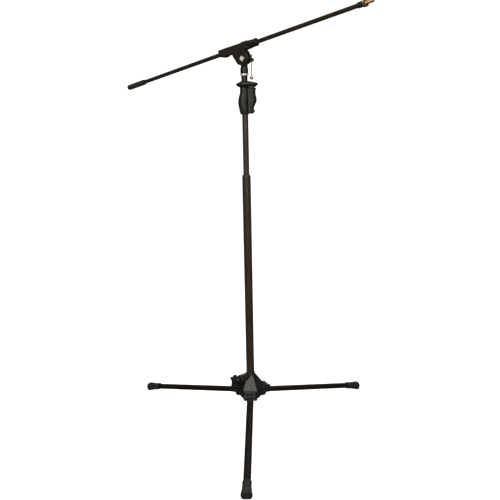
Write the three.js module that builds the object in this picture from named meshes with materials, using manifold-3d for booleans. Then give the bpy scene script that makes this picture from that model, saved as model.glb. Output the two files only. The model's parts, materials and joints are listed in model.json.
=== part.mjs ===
// Boom microphone stand: folding tripod, one-hand (pistol grip) height clutch, tilting and sliding boom.
// Millimetres, +Z up. Heights below are above the floor; the whole stand is then lowered so that the
// origin is the centre of the flat underside of the column's end plug.
// +X is to the right of the stand as seen from its front leg, +Y points away from the front leg.

import * as THREE from 'three';
import { mergeVertices } from 'three/addons/utils/BufferGeometryUtils.js';
import Module from 'manifold-3d';

const wasm = await Module();
wasm.setup();

// ---------------------------------------------------------------- driving dimensions
const GAP = 0.3;                      // clearance kept between touching pieces
const DEG = Math.PI / 180;
const ROUND = 20;                     // sides of a turned piece
const ROUND_SMALL = 12;               // sides of a screw, pin or pin hole

// column: two telescoping tubes
const LOWER_TUBE_R = 12.5;
const LOWER_TUBE_BORE_R = 11.3;
const INNER_TUBE_R = 8.75;
const INNER_TUBE_BORE_R = 7.75;
const COLUMN_FOOT = 70;               // underside of the end plug
const PLUG_FLANGE = 6.3;
const PLUG_TOP = 90;
const PLUG_BEVEL = 1;
const LOWER_TUBE_TOP = 762;
const BUSH_BOTTOM = 735;
const BUSH_TOP = 774.5;
const INNER_TUBE_BOTTOM = 325;
const INNER_TUBE_TOP = 982;

// tripod base
const LEG_NAMES = ['front', 'right', 'left'];
const LEG_AZIMUTHS = [-92, 28, 148];  // degrees from +X
const HUB_TOP = 156.5;
const HUB_BOTTOM = 76.5;
const LEG_PIN_RADIUS = 53.6;          // distance of the fold pin from the column axis
const LEG_PIN_HEIGHT = 97.1;
const LEG_PIN_R = 2.5;
const LEG_SLOPE = 11.45;              // degrees that an open leg falls outwards
const LEG_AXIS_DROP = 10.2;           // leg tube axis below the fold pin
const LEG_HALF_WIDTH = 10.3;
const LEG_HALF_HEIGHT = 8.0;
const LEG_WALL = 1.2;
const LEG_TUBE_START = 18;            // along the leg, from the fold pin
const LEG_TUBE_END = 368;
const BOOT_START = 333;
const BOOT_END = 380;
const HUB_SLOT_HALF = 11.2;
const HUB_BOSS_HALF = 15.6;
const KNOB_AZIMUTH = -140;
const KNOB_HEIGHT = 146;
const KNOB_BOSS_END = 45;             // hub boss behind the knob
const KNOB_BOSS_R = 12.5;
const KNOB_SCREW_R = 3;

// pistol grip
const GRIP_BOTTOM = 946;
const GRIP_TOP = 1019.5;
const BODY_RIGHT = 10.5;              // right edge of the grip body, inside the trigger
const TRIGGER_PIN_X = 15;
const TRIGGER_PIN_HEIGHT = 958.5;
const TRIGGER_TRAVEL = 4;             // degrees
const SEAM_X = 9;
const TRIGGER_LIP = 33.4;             // outer edge at the trigger's top
const ARM_BOTTOM = 1006.4;            // trigger arm, which presses the pull rod down
const ARM_TOP = 1011;
const ARM_HALF = 4;
const SLOT_HALF = 4.4;                // slot for the arm in the grip shells
const SLOT_BOTTOM = ARM_BOTTOM - 3.4;
const SLOT_TOP = ARM_TOP + 1;
const TRIGGER_CLEAR = 0.4;            // trigger to grip body
const ROD_R = 2.5;
const ROD_HEAD_TOP = 1006;
const ROD_HEAD = 3;                   // thickness of the pull rod's head
const ROD_BOTTOM = 268;

// neck and swivel
const STUD_SEAT = 1024;               // bottom of the blind hole in the grip's flange
const STUD_R = 7.94;                  // 5/8 inch thread
const STUD_BORE_R = 8.25;
const COLLAR_R = 8.75;                // plain collar of the neck stud, below the thread
const NECK_TOP = 1069.5;
const LOCK_RING_BOTTOM = 1053.4;
const LOCK_RING_TOP = 1058;
const COUPLER_TOP = 1074;
const TILT_PIVOT = 1098.5;

// boom and its clamp, in the boom's own frame: X along the boom, Y along the tilt pin, Z square to both
const BOOM_AZIMUTH = -36.85;
const BOOM_ELEVATION = 10.77;
const BOOM_OFFSET = 32.4;             // boom axis above the tilt pin
const BOOM_R = 5.85;
const BOOM_BORE_R = 4.85;
const BOOM_CLEAR_R = 6.15;
const BOOM_LEFT = -474;
const BOOM_RIGHT = 375.8;
const EAR_INNER = 5;
const EAR_OUTER = 8.8;
const EAR_OUTLINE = [[-37, 23.4], [-23.2, -3], [-21.6, -7.6], [-17.6, -12], [-11.4, -15.2], [-3, -16.6],
  [5.6, -16.2], [12.6, -14], [17.6, -10], [20.6, -4.4], [20.6, 1.6], [13.4, 23.4]];
const BLOCK_END = 24;
const BLOCK_NOSE_R = 9.2;             // nose that carries the collet nut
const COLLET_R = 8;
const TILT_BOLT_R = 3;
const BOLT_HEAD_R = 7.8;              // to the corners of the square head
const TILT_BORE_R = 3.3;
const TBAR_DISTANCE = 34.5;           // along the tilt pin, to the sliding bar
const TBAR_R = 1.4;
const TIP_STUD_R = 4.76;              // 3/8 inch thread

// ---------------------------------------------------------------- finishes
function finish(colour, roughness, metalness) {
  return () => new THREE.MeshStandardMaterial({ color: colour, roughness, metalness });
}
const satinBlackTube = finish(0x2b2522, 0.38, 0.35);
const hubPaint = finish(0x2f3532, 0.42, 0.3);
const blackPlastic = finish(0x1c1b1a, 0.6, 0.0);
const gripPlastic = finish(0x30302c, 0.62, 0.0);
const blackRubber = finish(0x1f1e1c, 0.85, 0.0);
const nickel = finish(0xc9c4b8, 0.28, 1.0);
const brightSteel = finish(0xd8d6d0, 0.25, 1.0);
const steel = finish(0x9a9792, 0.35, 1.0);
const blackSteel = finish(0x26241f, 0.4, 0.6);
const brass = finish(0xb9874f, 0.3, 1.0);

// ---------------------------------------------------------------- solids
// A geometry as a manifold solid: shared corners merged, slivers dropped, faces turned outwards.
function solid(geometry) {
  const bare = geometry.clone();
  bare.deleteAttribute('normal');
  bare.deleteAttribute('uv');
  const merged = mergeVertices(bare, 1e-4);
  const position = merged.attributes.position.array;
  const corners = merged.index.array;
  const triangles = [];
  let volume = 0;
  for (let i = 0; i < corners.length; i += 3) {
    const [a, b, c] = [corners[i], corners[i + 1], corners[i + 2]];
    if (a === b || b === c || a === c) continue;
    triangles.push(a, b, c);
    const [va, vb, vc] = [a, b, c].map((k) => new THREE.Vector3().fromArray(position, 3 * k));
    volume += va.dot(vb.cross(vc));
  }
  if (volume < 0) triangles.reverse();
  return new wasm.Manifold(new wasm.Mesh({
    numProp: 3,
    vertProperties: new Float32Array(position),
    triVerts: new Uint32Array(triangles),
  }));
}

function geometryOf(manifold) {
  const mesh = manifold.getMesh();
  const geometry = new THREE.BufferGeometry();
  geometry.setAttribute('position', new THREE.BufferAttribute(new Float32Array(mesh.vertProperties), 3));
  geometry.setIndex(new THREE.BufferAttribute(new Uint32Array(mesh.triVerts), 1));
  geometry.computeVertexNormals();
  return geometry;
}

function join(...geometries) {
  return geometryOf(geometries.map(solid).reduce((whole, next) => whole.add(next)));
}

function cut(geometry, ...tools) {
  return geometryOf(tools.map(solid).reduce((whole, next) => whole.subtract(next), solid(geometry)));
}

function common(first, second) {
  return geometryOf(solid(first).intersect(solid(second)));
}

// A body turned about Z from [radius, height] corners; it closes on itself when it doesn't touch the axis.
function turned(profile, segments = ROUND) {
  const points = profile.map(([r, z]) => new THREE.Vector2(r, z));
  const onAxis = points[0].x === 0 && points[points.length - 1].x === 0;
  if (!onAxis) points.push(points[0].clone());
  return new THREE.LatheGeometry(points, segments).rotateX(Math.PI / 2);
}

function rod(radius, bottom, top, segments = ROUND, bevel = 0) {
  const profile = bevel === 0 ? [[0, bottom], [radius, bottom], [radius, top], [0, top]]
    : [[0, bottom], [radius - bevel, bottom], [radius, bottom + bevel],
      [radius, top - bevel], [radius - bevel, top], [0, top]];
  return turned(profile, segments);
}

function tube(outer, inner, bottom, top, segments = ROUND) {
  return turned([[inner, bottom], [outer, bottom], [outer, top], [inner, top]], segments);
}

function box(x0, x1, y0, y1, z0, z1) {
  return new THREE.BoxGeometry(x1 - x0, y1 - y0, z1 - z0)
    .translate((x0 + x1) / 2, (y0 + y1) / 2, (z0 + z1) / 2);
}

// A flat outline of [x, z] corners, given thickness from y0 to y1.
function uprightPlate(outline, y0, y1) {
  const shape = outline instanceof THREE.Shape ? outline : new THREE.Shape(
    outline.map(([x, z]) => new THREE.Vector2(x, z)));
  return new THREE.ExtrudeGeometry(shape, { depth: y1 - y0, bevelEnabled: false, curveSegments: 5 })
    .rotateX(Math.PI / 2).translate(0, y1, 0);
}

function flatPlate(outline, z0, z1) {
  const shape = new THREE.Shape(outline.map(([x, y]) => new THREE.Vector2(x, y)));
  return new THREE.ExtrudeGeometry(shape, { depth: z1 - z0, bevelEnabled: false }).translate(0, 0, z0);
}

const alongX = (geometry) => geometry.rotateY(Math.PI / 2);
const alongY = (geometry) => geometry.rotateX(-Math.PI / 2);

// A skin over rings of points (same count in each ring), closed by a fan at both ends.
function lofted(rings) {
  const count = rings[0].length;
  const points = rings.flat();
  const faces = [];
  for (let ring = 0; ring < rings.length - 1; ring += 1) {
    for (let i = 0; i < count; i += 1) {
      const a = ring * count + i;
      const b = ring * count + (i + 1) % count;
      faces.push(a, b, b + count, a, b + count, a + count);
    }
  }
  [rings[0], rings[rings.length - 1]].forEach((ring, end) => {
    const centre = ring.reduce((sum, p) => sum.add(p), new THREE.Vector3()).divideScalar(count);
    const hub = points.push(centre) - 1;
    const start = end === 0 ? 0 : (rings.length - 1) * count;
    for (let i = 0; i < count; i += 1) {
      const a = start + i;
      const b = start + (i + 1) % count;
      faces.push(...(end === 0 ? [b, a, hub] : [a, b, hub]));
    }
  });
  const geometry = new THREE.BufferGeometry().setFromPoints(points);
  geometry.setIndex(faces);
  return geometry;
}

// One ring of a rounded-rectangle-like oval (superellipse) square to Z.
function ovalRing(x0, x1, halfDepth, z, power = 2.2, count = 18) {
  const ring = [];
  for (let i = 0; i < count; i += 1) {
    const angle = 2 * Math.PI * i / count;
    const c = Math.cos(angle);
    const s = Math.sin(angle);
    ring.push(new THREE.Vector3(
      (x0 + x1) / 2 + (x1 - x0) / 2 * Math.sign(c) * Math.abs(c) ** (2 / power),
      halfDepth * Math.sign(s) * Math.abs(s) ** (2 / power),
      z));
  }
  return ring;
}

// An oval ring square to X, as wide as the leg tube section or larger.
function legRing(x, halfWidth, halfHeight, drop = LEG_AXIS_DROP, count = 16) {
  return ovalRing(-halfWidth, halfWidth, halfHeight, x, 2.4, count)
    .map((p) => new THREE.Vector3(p.z, p.x, p.y - drop));
}

function named(name, geometry, material) {
  const mesh = new THREE.Mesh(geometryOf(solid(geometry)), material());
  mesh.name = name;
  return mesh;
}

// ---------------------------------------------------------------- column
function columnPieces() {
  const plug = turned([[0, COLUMN_FOOT], [LOWER_TUBE_R - PLUG_BEVEL, COLUMN_FOOT],
    [LOWER_TUBE_R, COLUMN_FOOT + PLUG_BEVEL], [LOWER_TUBE_R, COLUMN_FOOT + PLUG_FLANGE],
    [LOWER_TUBE_BORE_R - GAP, COLUMN_FOOT + PLUG_FLANGE], [LOWER_TUBE_BORE_R - GAP, PLUG_TOP],
    [0, PLUG_TOP]]);
  const lower = tube(LOWER_TUBE_R, LOWER_TUBE_BORE_R, COLUMN_FOOT + PLUG_FLANGE + GAP, LOWER_TUBE_TOP);
  const bushBore = INNER_TUBE_R + GAP;
  const bush = turned([[bushBore, BUSH_BOTTOM], [LOWER_TUBE_BORE_R - GAP, BUSH_BOTTOM],
    [LOWER_TUBE_BORE_R - GAP, LOWER_TUBE_TOP + GAP], [LOWER_TUBE_R, LOWER_TUBE_TOP + GAP],
    [LOWER_TUBE_R, BUSH_TOP - 6], [LOWER_TUBE_R - 0.7, BUSH_TOP - 3], [LOWER_TUBE_R - 2, BUSH_TOP],
    [bushBore, BUSH_TOP]]);
  const inner = tube(INNER_TUBE_R, INNER_TUBE_BORE_R, INNER_TUBE_BOTTOM, INNER_TUBE_TOP);
  return [
    named('column_end_plug', plug, blackPlastic),
    named('lower_tube', lower, satinBlackTube),
    named('guide_bush', bush, blackPlastic),
    named('inner_tube', inner, satinBlackTube),
  ];
}

// Expanding clutch at the bottom of the inner tube: slotted fingers spread by a cone on the pull rod.
function clutchPieces() {
  const fingerTop = INNER_TUBE_BOTTOM - 6;
  const fingerBottom = fingerTop - 34;
  const mouthR = 8.2;
  const throatR = 5;
  const throat = fingerTop - 4;
  const fingerR = LOWER_TUBE_BORE_R - 0.4;
  const plugR = INNER_TUBE_BORE_R - GAP;
  const plugTop = INNER_TUBE_BOTTOM + 20;
  const collet = turned([[ROD_R + GAP, throat], [throatR, throat], [mouthR, fingerBottom],
    [fingerR, fingerBottom], [fingerR, INNER_TUBE_BOTTOM - GAP], [plugR, INNER_TUBE_BOTTOM - GAP],
    [plugR, plugTop], [ROD_R + GAP, plugTop]]);
  const slotTop = fingerTop - 8;
  const slots = [
    box(-12, 12, -1, 1, fingerBottom - 1, slotTop),
    box(-1, 1, -12, 12, fingerBottom - 1, slotTop),
  ];
  const taper = (mouthR - throatR) / (throat - fingerBottom);
  const coneTop = throat - 6;
  const coneBottom = fingerBottom - 5;
  const coneRadius = (z) => throatR + taper * (throat - z) - 0.4;
  const cone = turned([[ROD_R + GAP, coneBottom], [coneRadius(coneBottom) - 1, coneBottom],
    [coneRadius(coneBottom + 2), coneBottom + 2], [coneRadius(coneTop), coneTop], [ROD_R + GAP, coneTop]]);
  const nutR = 4.6;
  const nut = cut(rod(nutR, coneBottom - 5, coneBottom - GAP, 6),
    rod(ROD_R + GAP, coneBottom - 6, coneBottom));
  const headR = 5.2;
  const headUnder = ROD_HEAD_TOP - ROD_HEAD;
  const pullRod = turned([[0, ROD_BOTTOM], [ROD_R, ROD_BOTTOM], [ROD_R, headUnder],
    [headR, headUnder], [headR, ROD_HEAD_TOP], [0, ROD_HEAD_TOP]]);
  return [
    named('clutch_collet', cut(collet, ...slots), blackPlastic),
    named('clutch_cone', cone, steel),
    named('clutch_nut', nut, steel),
    named('pull_rod', pullRod, steel),
  ];
}

// ---------------------------------------------------------------- tripod base
// Side outline of one hub lobe: sloping hood, round boss about the fold pin, cheek down to the skirt.
function lobeSideOutline() {
  const bossR = 12;
  const shape = new THREE.Shape();
  shape.moveTo(14, HUB_BOTTOM);
  shape.lineTo(36, HUB_BOTTOM);
  shape.absarc(LEG_PIN_RADIUS, LEG_PIN_HEIGHT, bossR, -75 * DEG, 118 * DEG, false);
  shape.lineTo(42, 112.5);
  shape.lineTo(15, 151);
  shape.lineTo(14, 151);
  shape.closePath();
  return shape;
}

// Plan outline of one lobe: it widens from the collar and closes in again beside the fold pin.
const LOBE_PLAN = [[12, -8], [41, -22], [48, -HUB_BOSS_HALF], [68, -HUB_BOSS_HALF],
  [68, HUB_BOSS_HALF], [48, HUB_BOSS_HALF], [41, 22], [12, 8]];

function hubCasting() {
  const core = turned([[0, HUB_BOTTOM], [31, HUB_BOTTOM], [34, HUB_BOTTOM + 4], [33.5, 92], [30, 106],
    [18, 136], [15.2, 148], [15.2, HUB_TOP - 1.5], [14.2, HUB_TOP], [0, HUB_TOP]], 24);
  let hub = core;
  const tools = [rod(LOWER_TUBE_R + GAP, HUB_BOTTOM - 1, HUB_TOP + 1, 24)];
  for (const azimuth of LEG_AZIMUTHS) {
    const turn = azimuth * DEG;
    const lobe = common(uprightPlate(lobeSideOutline(), -24, 24),
      flatPlate(LOBE_PLAN, HUB_BOTTOM - 1, HUB_TOP));
    hub = join(hub, lobe.rotateZ(turn));
    const slot = uprightPlate([[30.5, HUB_BOTTOM - 2], [90, HUB_BOTTOM - 2], [90, 118], [54, 106.6],
      [42, 106.6], [30.5, 96]], -HUB_SLOT_HALF, HUB_SLOT_HALF);
    tools.push(slot.rotateZ(turn));
    const pinHole = alongY(rod(LEG_PIN_R + GAP, -30, 30, ROUND_SMALL));
    tools.push(pinHole.translate(LEG_PIN_RADIUS, 0, LEG_PIN_HEIGHT).rotateZ(turn));
  }
  const towardsKnob = (geometry) => alongX(geometry).translate(0, 0, KNOB_HEIGHT)
    .rotateZ(KNOB_AZIMUTH * DEG);
  const boss = towardsKnob(rod(KNOB_BOSS_R, LOWER_TUBE_R, KNOB_BOSS_END));
  const screwHole = towardsKnob(rod(KNOB_SCREW_R + GAP, 10, KNOB_BOSS_END + 1, ROUND_SMALL));
  return cut(join(hub, boss), ...tools, screwHole);
}

// Five-lobed clamp knob with its screw, which presses on the column.
function clampKnob() {
  const lobes = 5;
  const steps = 30;
  const meanR = 15.5;
  const swing = 3.5;
  const outline = [];
  for (let i = 0; i < steps; i += 1) {
    const angle = 2 * Math.PI * i / steps;
    const r = meanR + swing * Math.cos(lobes * angle);
    outline.push([r * Math.cos(angle), r * Math.sin(angle)]);
  }
  const shape = new THREE.Shape(outline.map(([x, y]) => new THREE.Vector2(x, y)));
  const head = new THREE.ExtrudeGeometry(shape, {
    depth: 8, bevelEnabled: true, bevelThickness: 1.5, bevelSize: 1.5, bevelSegments: 1,
  }).translate(0, 0, KNOB_BOSS_END + 13);
  const neck = rod(7, KNOB_BOSS_END + 0.5, KNOB_BOSS_END + 12.5);
  const crown = rod(8.5, KNOB_BOSS_END + 21, KNOB_BOSS_END + 25.5, ROUND, 1.5);
  const screwEnd = KNOB_BOSS_END + 17.7;
  const knob = cut(join(head, neck, crown),
    rod(KNOB_SCREW_R + GAP, KNOB_BOSS_END, screwEnd + GAP, ROUND_SMALL));
  const screw = rod(KNOB_SCREW_R, LOWER_TUBE_R + GAP, screwEnd, ROUND_SMALL);
  return [named('base_knob', alongX(knob), blackPlastic), named('base_knob_screw', alongX(screw), steel)];
}

// One leg in its own frame: X along the leg, Z square to it, origin at the fold pin.
function legPieces(name) {
  const tubeOuter = lofted([legRing(LEG_TUBE_START, LEG_HALF_WIDTH, LEG_HALF_HEIGHT),
    legRing(LEG_TUBE_END, LEG_HALF_WIDTH, LEG_HALF_HEIGHT)]);
  const tubeBore = lofted([
    legRing(LEG_TUBE_START - 1, LEG_HALF_WIDTH - LEG_WALL, LEG_HALF_HEIGHT - LEG_WALL),
    legRing(LEG_TUBE_END + 1, LEG_HALF_WIDTH - LEG_WALL, LEG_HALF_HEIGHT - LEG_WALL)]);
  const fit = LEG_WALL + GAP;
  const spigot = lofted([
    legRing(LEG_TUBE_START - 2, LEG_HALF_WIDTH - fit, LEG_HALF_HEIGHT - fit),
    legRing(LEG_TUBE_START + 28, LEG_HALF_WIDTH - fit, LEG_HALF_HEIGHT - fit)]);
  const socket = lofted([
    legRing(-3.7, 8.3, 6.2), legRing(0.4, 10.1, 8.3), legRing(8.3, 10.7, 9.1),
    legRing(LEG_TUBE_START - GAP, LEG_HALF_WIDTH, LEG_HALF_HEIGHT)]);
  const eye = alongY(rod(8.6, -10.6, 10.6));
  const web = uprightPlate([[-7.1, -1.3], [-5.2, -11.4], [9.4, -12.1], [7.6, -1.7]], -7.7, 7.7);
  const pinHole = alongY(rod(LEG_PIN_R + GAP, -20, 20, ROUND_SMALL));
  const knuckle = cut(join(eye, web, socket, spigot), pinHole);
  const pinEnd = HUB_BOSS_HALF + GAP;
  const headR = 4.4;
  const halfPin = [[LEG_PIN_R, pinEnd], [headR, pinEnd], [headR, pinEnd + 1], [headR - 1, pinEnd + 2],
    [0, pinEnd + 2]];
  const otherHalf = halfPin.map(([r, z]) => [r, -z]).reverse();
  const pin = alongY(turned([...otherHalf, ...halfPin], ROUND_SMALL));
  return [
    named(`leg_tube_${name}`, cut(tubeOuter, tubeBore), satinBlackTube),
    named(`leg_knuckle_${name}`, knuckle, blackPlastic),
    named(`rubber_foot_${name}`, rubberFoot(), blackRubber),
    named(`leg_pin_${name}`, pin, steel),
  ];
}

// Flared rubber boot over the leg's end, cut flat where it stands on the floor.
function rubberFoot() {
  const heelDrop = LEG_AXIS_DROP + 1.2;
  const boot = lofted([
    legRing(BOOT_START, 11.9, 9.8), legRing(BOOT_START + 3, 12.7, 10.6),
    legRing(BOOT_START + 6, 12.2, 10.1), legRing(BOOT_START + 30, 13.6, 11.8, LEG_AXIS_DROP + 0.7),
    legRing(BOOT_END - 5, 15.6, 13.4, heelDrop), legRing(BOOT_END - 1.5, 15.4, 13.2, heelDrop),
    legRing(BOOT_END, 13.4, 11.4, heelDrop)]);
  const socket = lofted([
    legRing(BOOT_START - 1, LEG_HALF_WIDTH + GAP, LEG_HALF_HEIGHT + GAP),
    legRing(LEG_TUBE_END + GAP, LEG_HALF_WIDTH + GAP, LEG_HALF_HEIGHT + GAP)]);
  const belowFloor = box(250, 450, -40, 40, -LEG_PIN_HEIGHT - 60, -LEG_PIN_HEIGHT).rotateY(-LEG_SLOPE * DEG);
  return cut(boot, socket, belowFloor);
}

// ---------------------------------------------------------------- pistol grip
// Body sections: height, left edge, half depth. The right edge is the trigger side.
const BODY_SECTIONS = [[GRIP_BOTTOM, -11.6, 11], [948.5, -13.6, 13], [956.5, -15.8, 14.7],
  [964.5, -17.3, 15.3], [972.5, -18.7, 15.6], [980.5, -19.1, 15.6], [989.5, -18.3, 15.2],
  [997.5, -16.3, 14.4], [1005.5, -14, 13.6], [GRIP_TOP, -13.6, 13.4]];

// Trigger sections: height, outer edge (finger waves), half depth.
const TRIGGER_SECTIONS = [[948, 20.5, 11], [950, 25.4, 12.8], [956.5, 28.4, 13.8], [960, 25.6, 13.9],
  [964.5, 25.6, 14.1], [972.5, 29, 14.4], [980.5, 32.8, 14.4], [989.5, 33.9, 14.3], [997.5, 32, 14.2],
  [1005.5, 30.6, 14.1], [1014.5, 31.2, 14.1], [1018, TRIGGER_LIP, 14], [GRIP_TOP, 32.6, 13.4]];

// Flange sections: height, left edge, right edge, half depth. Its underside clears the trigger's top.
const FLANGE_SECTIONS = [[GRIP_TOP + GAP, -13.6, 9.5, 13.2], [1021.2, -14.4, 25.5, 14],
  [1022, -16, 30, 14.9], [1023.6, -19, 32.5, 16.4], [1025.8, -22.6, 34.5, 18.6],
  [1028.4, -24.4, 38, 20], [1031.2, -23.4, 38.2, 19.6], [1034.3, -17.8, 32.5, 16.4],
  [1036.9, -12.5, 20.5, 12.6], [1038.2, -10.8, 13, 10.8]];

function gripBodyForm(grow = 0) {
  return lofted(BODY_SECTIONS.map(([z, left, half], index) => {
    const first = index === 0 ? -grow : 0;
    const last = index === BODY_SECTIONS.length - 1 ? grow : 0;
    return ovalRing(left - grow, BODY_RIGHT + grow, half + grow, z + first + last);
  }));
}

function pinLug(grow = 0) {
  return uprightPlate([[2, GRIP_BOTTOM + 4 - grow], [16, GRIP_BOTTOM + 5.5 - grow], [19.4 + grow, 955 - grow],
    [19.4 + grow, 963 + grow], [12, 967 + grow], [2, 967 + grow]], -5 - grow, 5 + grow);
}

function aboutTriggerPin(geometry, degrees) {
  return geometry.translate(-TRIGGER_PIN_X, 0, -TRIGGER_PIN_HEIGHT).rotateY(degrees * DEG)
    .translate(TRIGGER_PIN_X, 0, TRIGGER_PIN_HEIGHT);
}

const crossRod = (r, y0, y1, x, z) => alongY(rod(r, y0, y1, ROUND_SMALL)).translate(x, 0, z);
const GRIP_SCREWS = [['upper', -3, 1016], ['lower', -13.2, 968]];
const GRIP_SCREW_R = 1.2;
const GRIP_SCREW_HEAD_R = 2.8;
const GRIP_SCREW_END = -7;            // along Y
const GRIP_SCREW_SEAT = 8;
const TRIGGER_PIN_R = 1.6;
const TRIGGER_PIN_HALF = 11.9;
const SPRING_BOTTOM = 987;
const SPRING_R = 4.4;

function gripShell(side) {
  const half = side < 0 ? box(-60, 60, -40, -GAP / 2, 900, 1100) : box(-60, 60, GAP / 2, 40, 900, 1100);
  const whole = join(gripBodyForm(), pinLug());
  const tools = [
    rod(INNER_TUBE_R + GAP, 900, INNER_TUBE_TOP + GAP),
    rod(ROD_R + 0.5, 970, 1000, ROUND_SMALL),
    rod(SPRING_R + 2, SPRING_BOTTOM - 1, 1010),
    box(-9.6, 40, -SLOT_HALF, SLOT_HALF, SLOT_BOTTOM, SLOT_TOP),
    crossRod(TRIGGER_PIN_R + GAP, -20, 20, TRIGGER_PIN_X, TRIGGER_PIN_HEIGHT),
  ];
  for (const [, x, z] of GRIP_SCREWS) {
    tools.push(crossRod(GRIP_SCREW_R + GAP, GRIP_SCREW_END - 0.5, 20, x, z),
      crossRod(GRIP_SCREW_HEAD_R + 0.4, GRIP_SCREW_SEAT, 20, x, z));
  }
  return common(cut(whole, ...tools), half);
}

function triggerPiece() {
  const outer = lofted(TRIGGER_SECTIONS.map(([z, right, half]) => (
    ovalRing(2 * SEAM_X - right, right, half, z, 2.5))));
  const blade = join(common(outer, box(SEAM_X, 60, -40, 40, 900, 1100)),
    box(-3, 24, -ARM_HALF, ARM_HALF, ARM_BOTTOM, ARM_TOP));
  const pinHoleHalf = TRIGGER_PIN_HALF + GAP;
  const tools = [crossRod(TRIGGER_PIN_R + GAP, -pinHoleHalf, pinHoleHalf, TRIGGER_PIN_X, TRIGGER_PIN_HEIGHT)];
  const body = gripBodyForm(TRIGGER_CLEAR);
  const inner = 3;
  const slotBottom = SLOT_BOTTOM + TRIGGER_CLEAR;
  const slotTop = SLOT_TOP - TRIGGER_CLEAR;
  const around = [
    common(body, box(inner, 60, -40, 40, 900, slotBottom)),
    common(body, box(inner, 60, -40, 40, slotTop, 1100)),
    common(body, box(inner, 60, ARM_HALF, 40, slotBottom - 1, slotTop + 1)),
    common(body, box(inner, 60, -40, -ARM_HALF, slotBottom - 1, slotTop + 1)),
    pinLug(TRIGGER_CLEAR),
  ];
  for (const step of [0, 0.5, 1.05]) {
    for (const form of around) {
      tools.push(aboutTriggerPin(form.clone(), step * TRIGGER_TRAVEL));
    }
  }
  return cut(blade, ...tools);
}

class Helix extends THREE.Curve {
  constructor(radius, bottom, top, turns) {
    super();
    Object.assign(this, { radius, bottom, top, turns });
  }

  getPoint(t, target = new THREE.Vector3()) {
    const angle = 2 * Math.PI * this.turns * t;
    return target.set(this.radius * Math.cos(angle), this.radius * Math.sin(angle),
      this.bottom + (this.top - this.bottom) * t);
  }
}

function coil(radius, wireR, bottom, top, turns) {
  const section = new THREE.Shape().absarc(0, 0, wireR, 0, 2 * Math.PI, false);
  return new THREE.ExtrudeGeometry(section, {
    steps: turns * 8, curveSegments: 3, extrudePath: new Helix(radius, bottom, top, turns),
  });
}

// Flange with a short skirt on both sides of the trigger's top, which stays clear of the trigger.
function gripFlange() {
  const plate = lofted(FLANGE_SECTIONS.map(([z, left, right, half]) => ovalRing(left, right, half, z)));
  const beside = (grow, bottom, top) => lofted([bottom, top].map((z) => (
    ovalRing(2 * SEAM_X - TRIGGER_LIP - grow, TRIGGER_LIP + grow, 14.1 + grow, z, 2.5))));
  const skirt = common(beside(2.2, GRIP_TOP - 1.8, 1024), box(11.2, 28, -40, 40, 1000, 1024));
  const pocket = common(beside(0.6, 1000, GRIP_TOP + 1.6), box(11, 60, -40, 40, 1000, 1024));
  return cut(join(plate, skirt), pocket, rod(COLLAR_R + GAP, STUD_SEAT, 1050));
}

function gripPieces() {
  const studBottom = STUD_SEAT + GAP;
  const collarTop = LOCK_RING_BOTTOM - GAP;
  const stud = turned([[0, studBottom], [COLLAR_R, studBottom], [COLLAR_R, collarTop],
    [STUD_R, collarTop], [STUD_R, NECK_TOP - 1.5], [STUD_R - 1.5, NECK_TOP], [0, NECK_TOP]]);
  const pieces = [
    named('grip_shell_near', gripShell(-1), gripPlastic),
    named('grip_shell_far', gripShell(1), gripPlastic),
    named('grip_flange', gripFlange(), gripPlastic),
    named('neck_stud', stud, blackSteel),
    named('trigger', triggerPiece(), gripPlastic),
    named('trigger_pin', crossRod(TRIGGER_PIN_R, -TRIGGER_PIN_HALF, TRIGGER_PIN_HALF,
      TRIGGER_PIN_X, TRIGGER_PIN_HEIGHT), steel),
    named('trigger_spring', coil(SPRING_R, 0.45, SPRING_BOTTOM, ROD_HEAD_TOP - ROD_HEAD - 1, 5), steel),
  ];
  const headUnder = GRIP_SCREW_SEAT + GAP;
  const headTop = headUnder + 1.9;
  for (const [name, x, z] of GRIP_SCREWS) {
    const screw = alongY(turned([[0, GRIP_SCREW_END], [GRIP_SCREW_R, GRIP_SCREW_END],
      [GRIP_SCREW_R, headUnder], [GRIP_SCREW_HEAD_R, headUnder], [GRIP_SCREW_HEAD_R, headTop - 0.6],
      [GRIP_SCREW_HEAD_R - 0.6, headTop], [0, headTop]], ROUND_SMALL));
    pieces.push(named(`grip_screw_${name}`, screw.translate(x, 0, z), steel));
  }
  return pieces;
}

// ---------------------------------------------------------------- swivel above the grip
function swivelPieces() {
  const ringR = 11.8;
  const bevel = 0.5;
  const ring = turned([[STUD_BORE_R, LOCK_RING_BOTTOM], [ringR - bevel, LOCK_RING_BOTTOM],
    [ringR, LOCK_RING_BOTTOM + bevel], [ringR, LOCK_RING_TOP - bevel], [ringR - bevel, LOCK_RING_TOP],
    [STUD_BORE_R, LOCK_RING_TOP]]);
  const couplerBottom = LOCK_RING_TOP + GAP;
  const couplerR = 11.2;
  const shankR = 6;
  const shankBottom = NECK_TOP + GAP;
  const coupler = turned([[STUD_BORE_R, couplerBottom], [couplerR, couplerBottom],
    [couplerR, COUPLER_TOP - bevel], [couplerR - bevel, COUPLER_TOP], [shankR + GAP, COUPLER_TOP],
    [shankR + GAP, shankBottom], [STUD_BORE_R, shankBottom]]);
  const shank = rod(shankR, shankBottom, COUPLER_TOP + 1);
  const tongueHalf = 3.4;
  const tongueR = 10;
  const plate = box(-tongueR, tongueR, -tongueHalf, tongueHalf, COUPLER_TOP + GAP, TILT_PIVOT);
  const round = alongY(rod(tongueR, -tongueHalf, tongueHalf)).translate(0, 0, TILT_PIVOT);
  const hole = alongY(rod(TILT_BORE_R, -20, 20, ROUND_SMALL)).translate(0, 0, TILT_PIVOT);
  const tongue = cut(join(shank, plate, round), hole).rotateZ(BOOM_AZIMUTH * DEG);
  return [
    named('lock_ring', ring, brightSteel),
    named('coupler', coupler, blackSteel),
    named('tilt_tongue', tongue, hubPaint),
  ];
}

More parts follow.
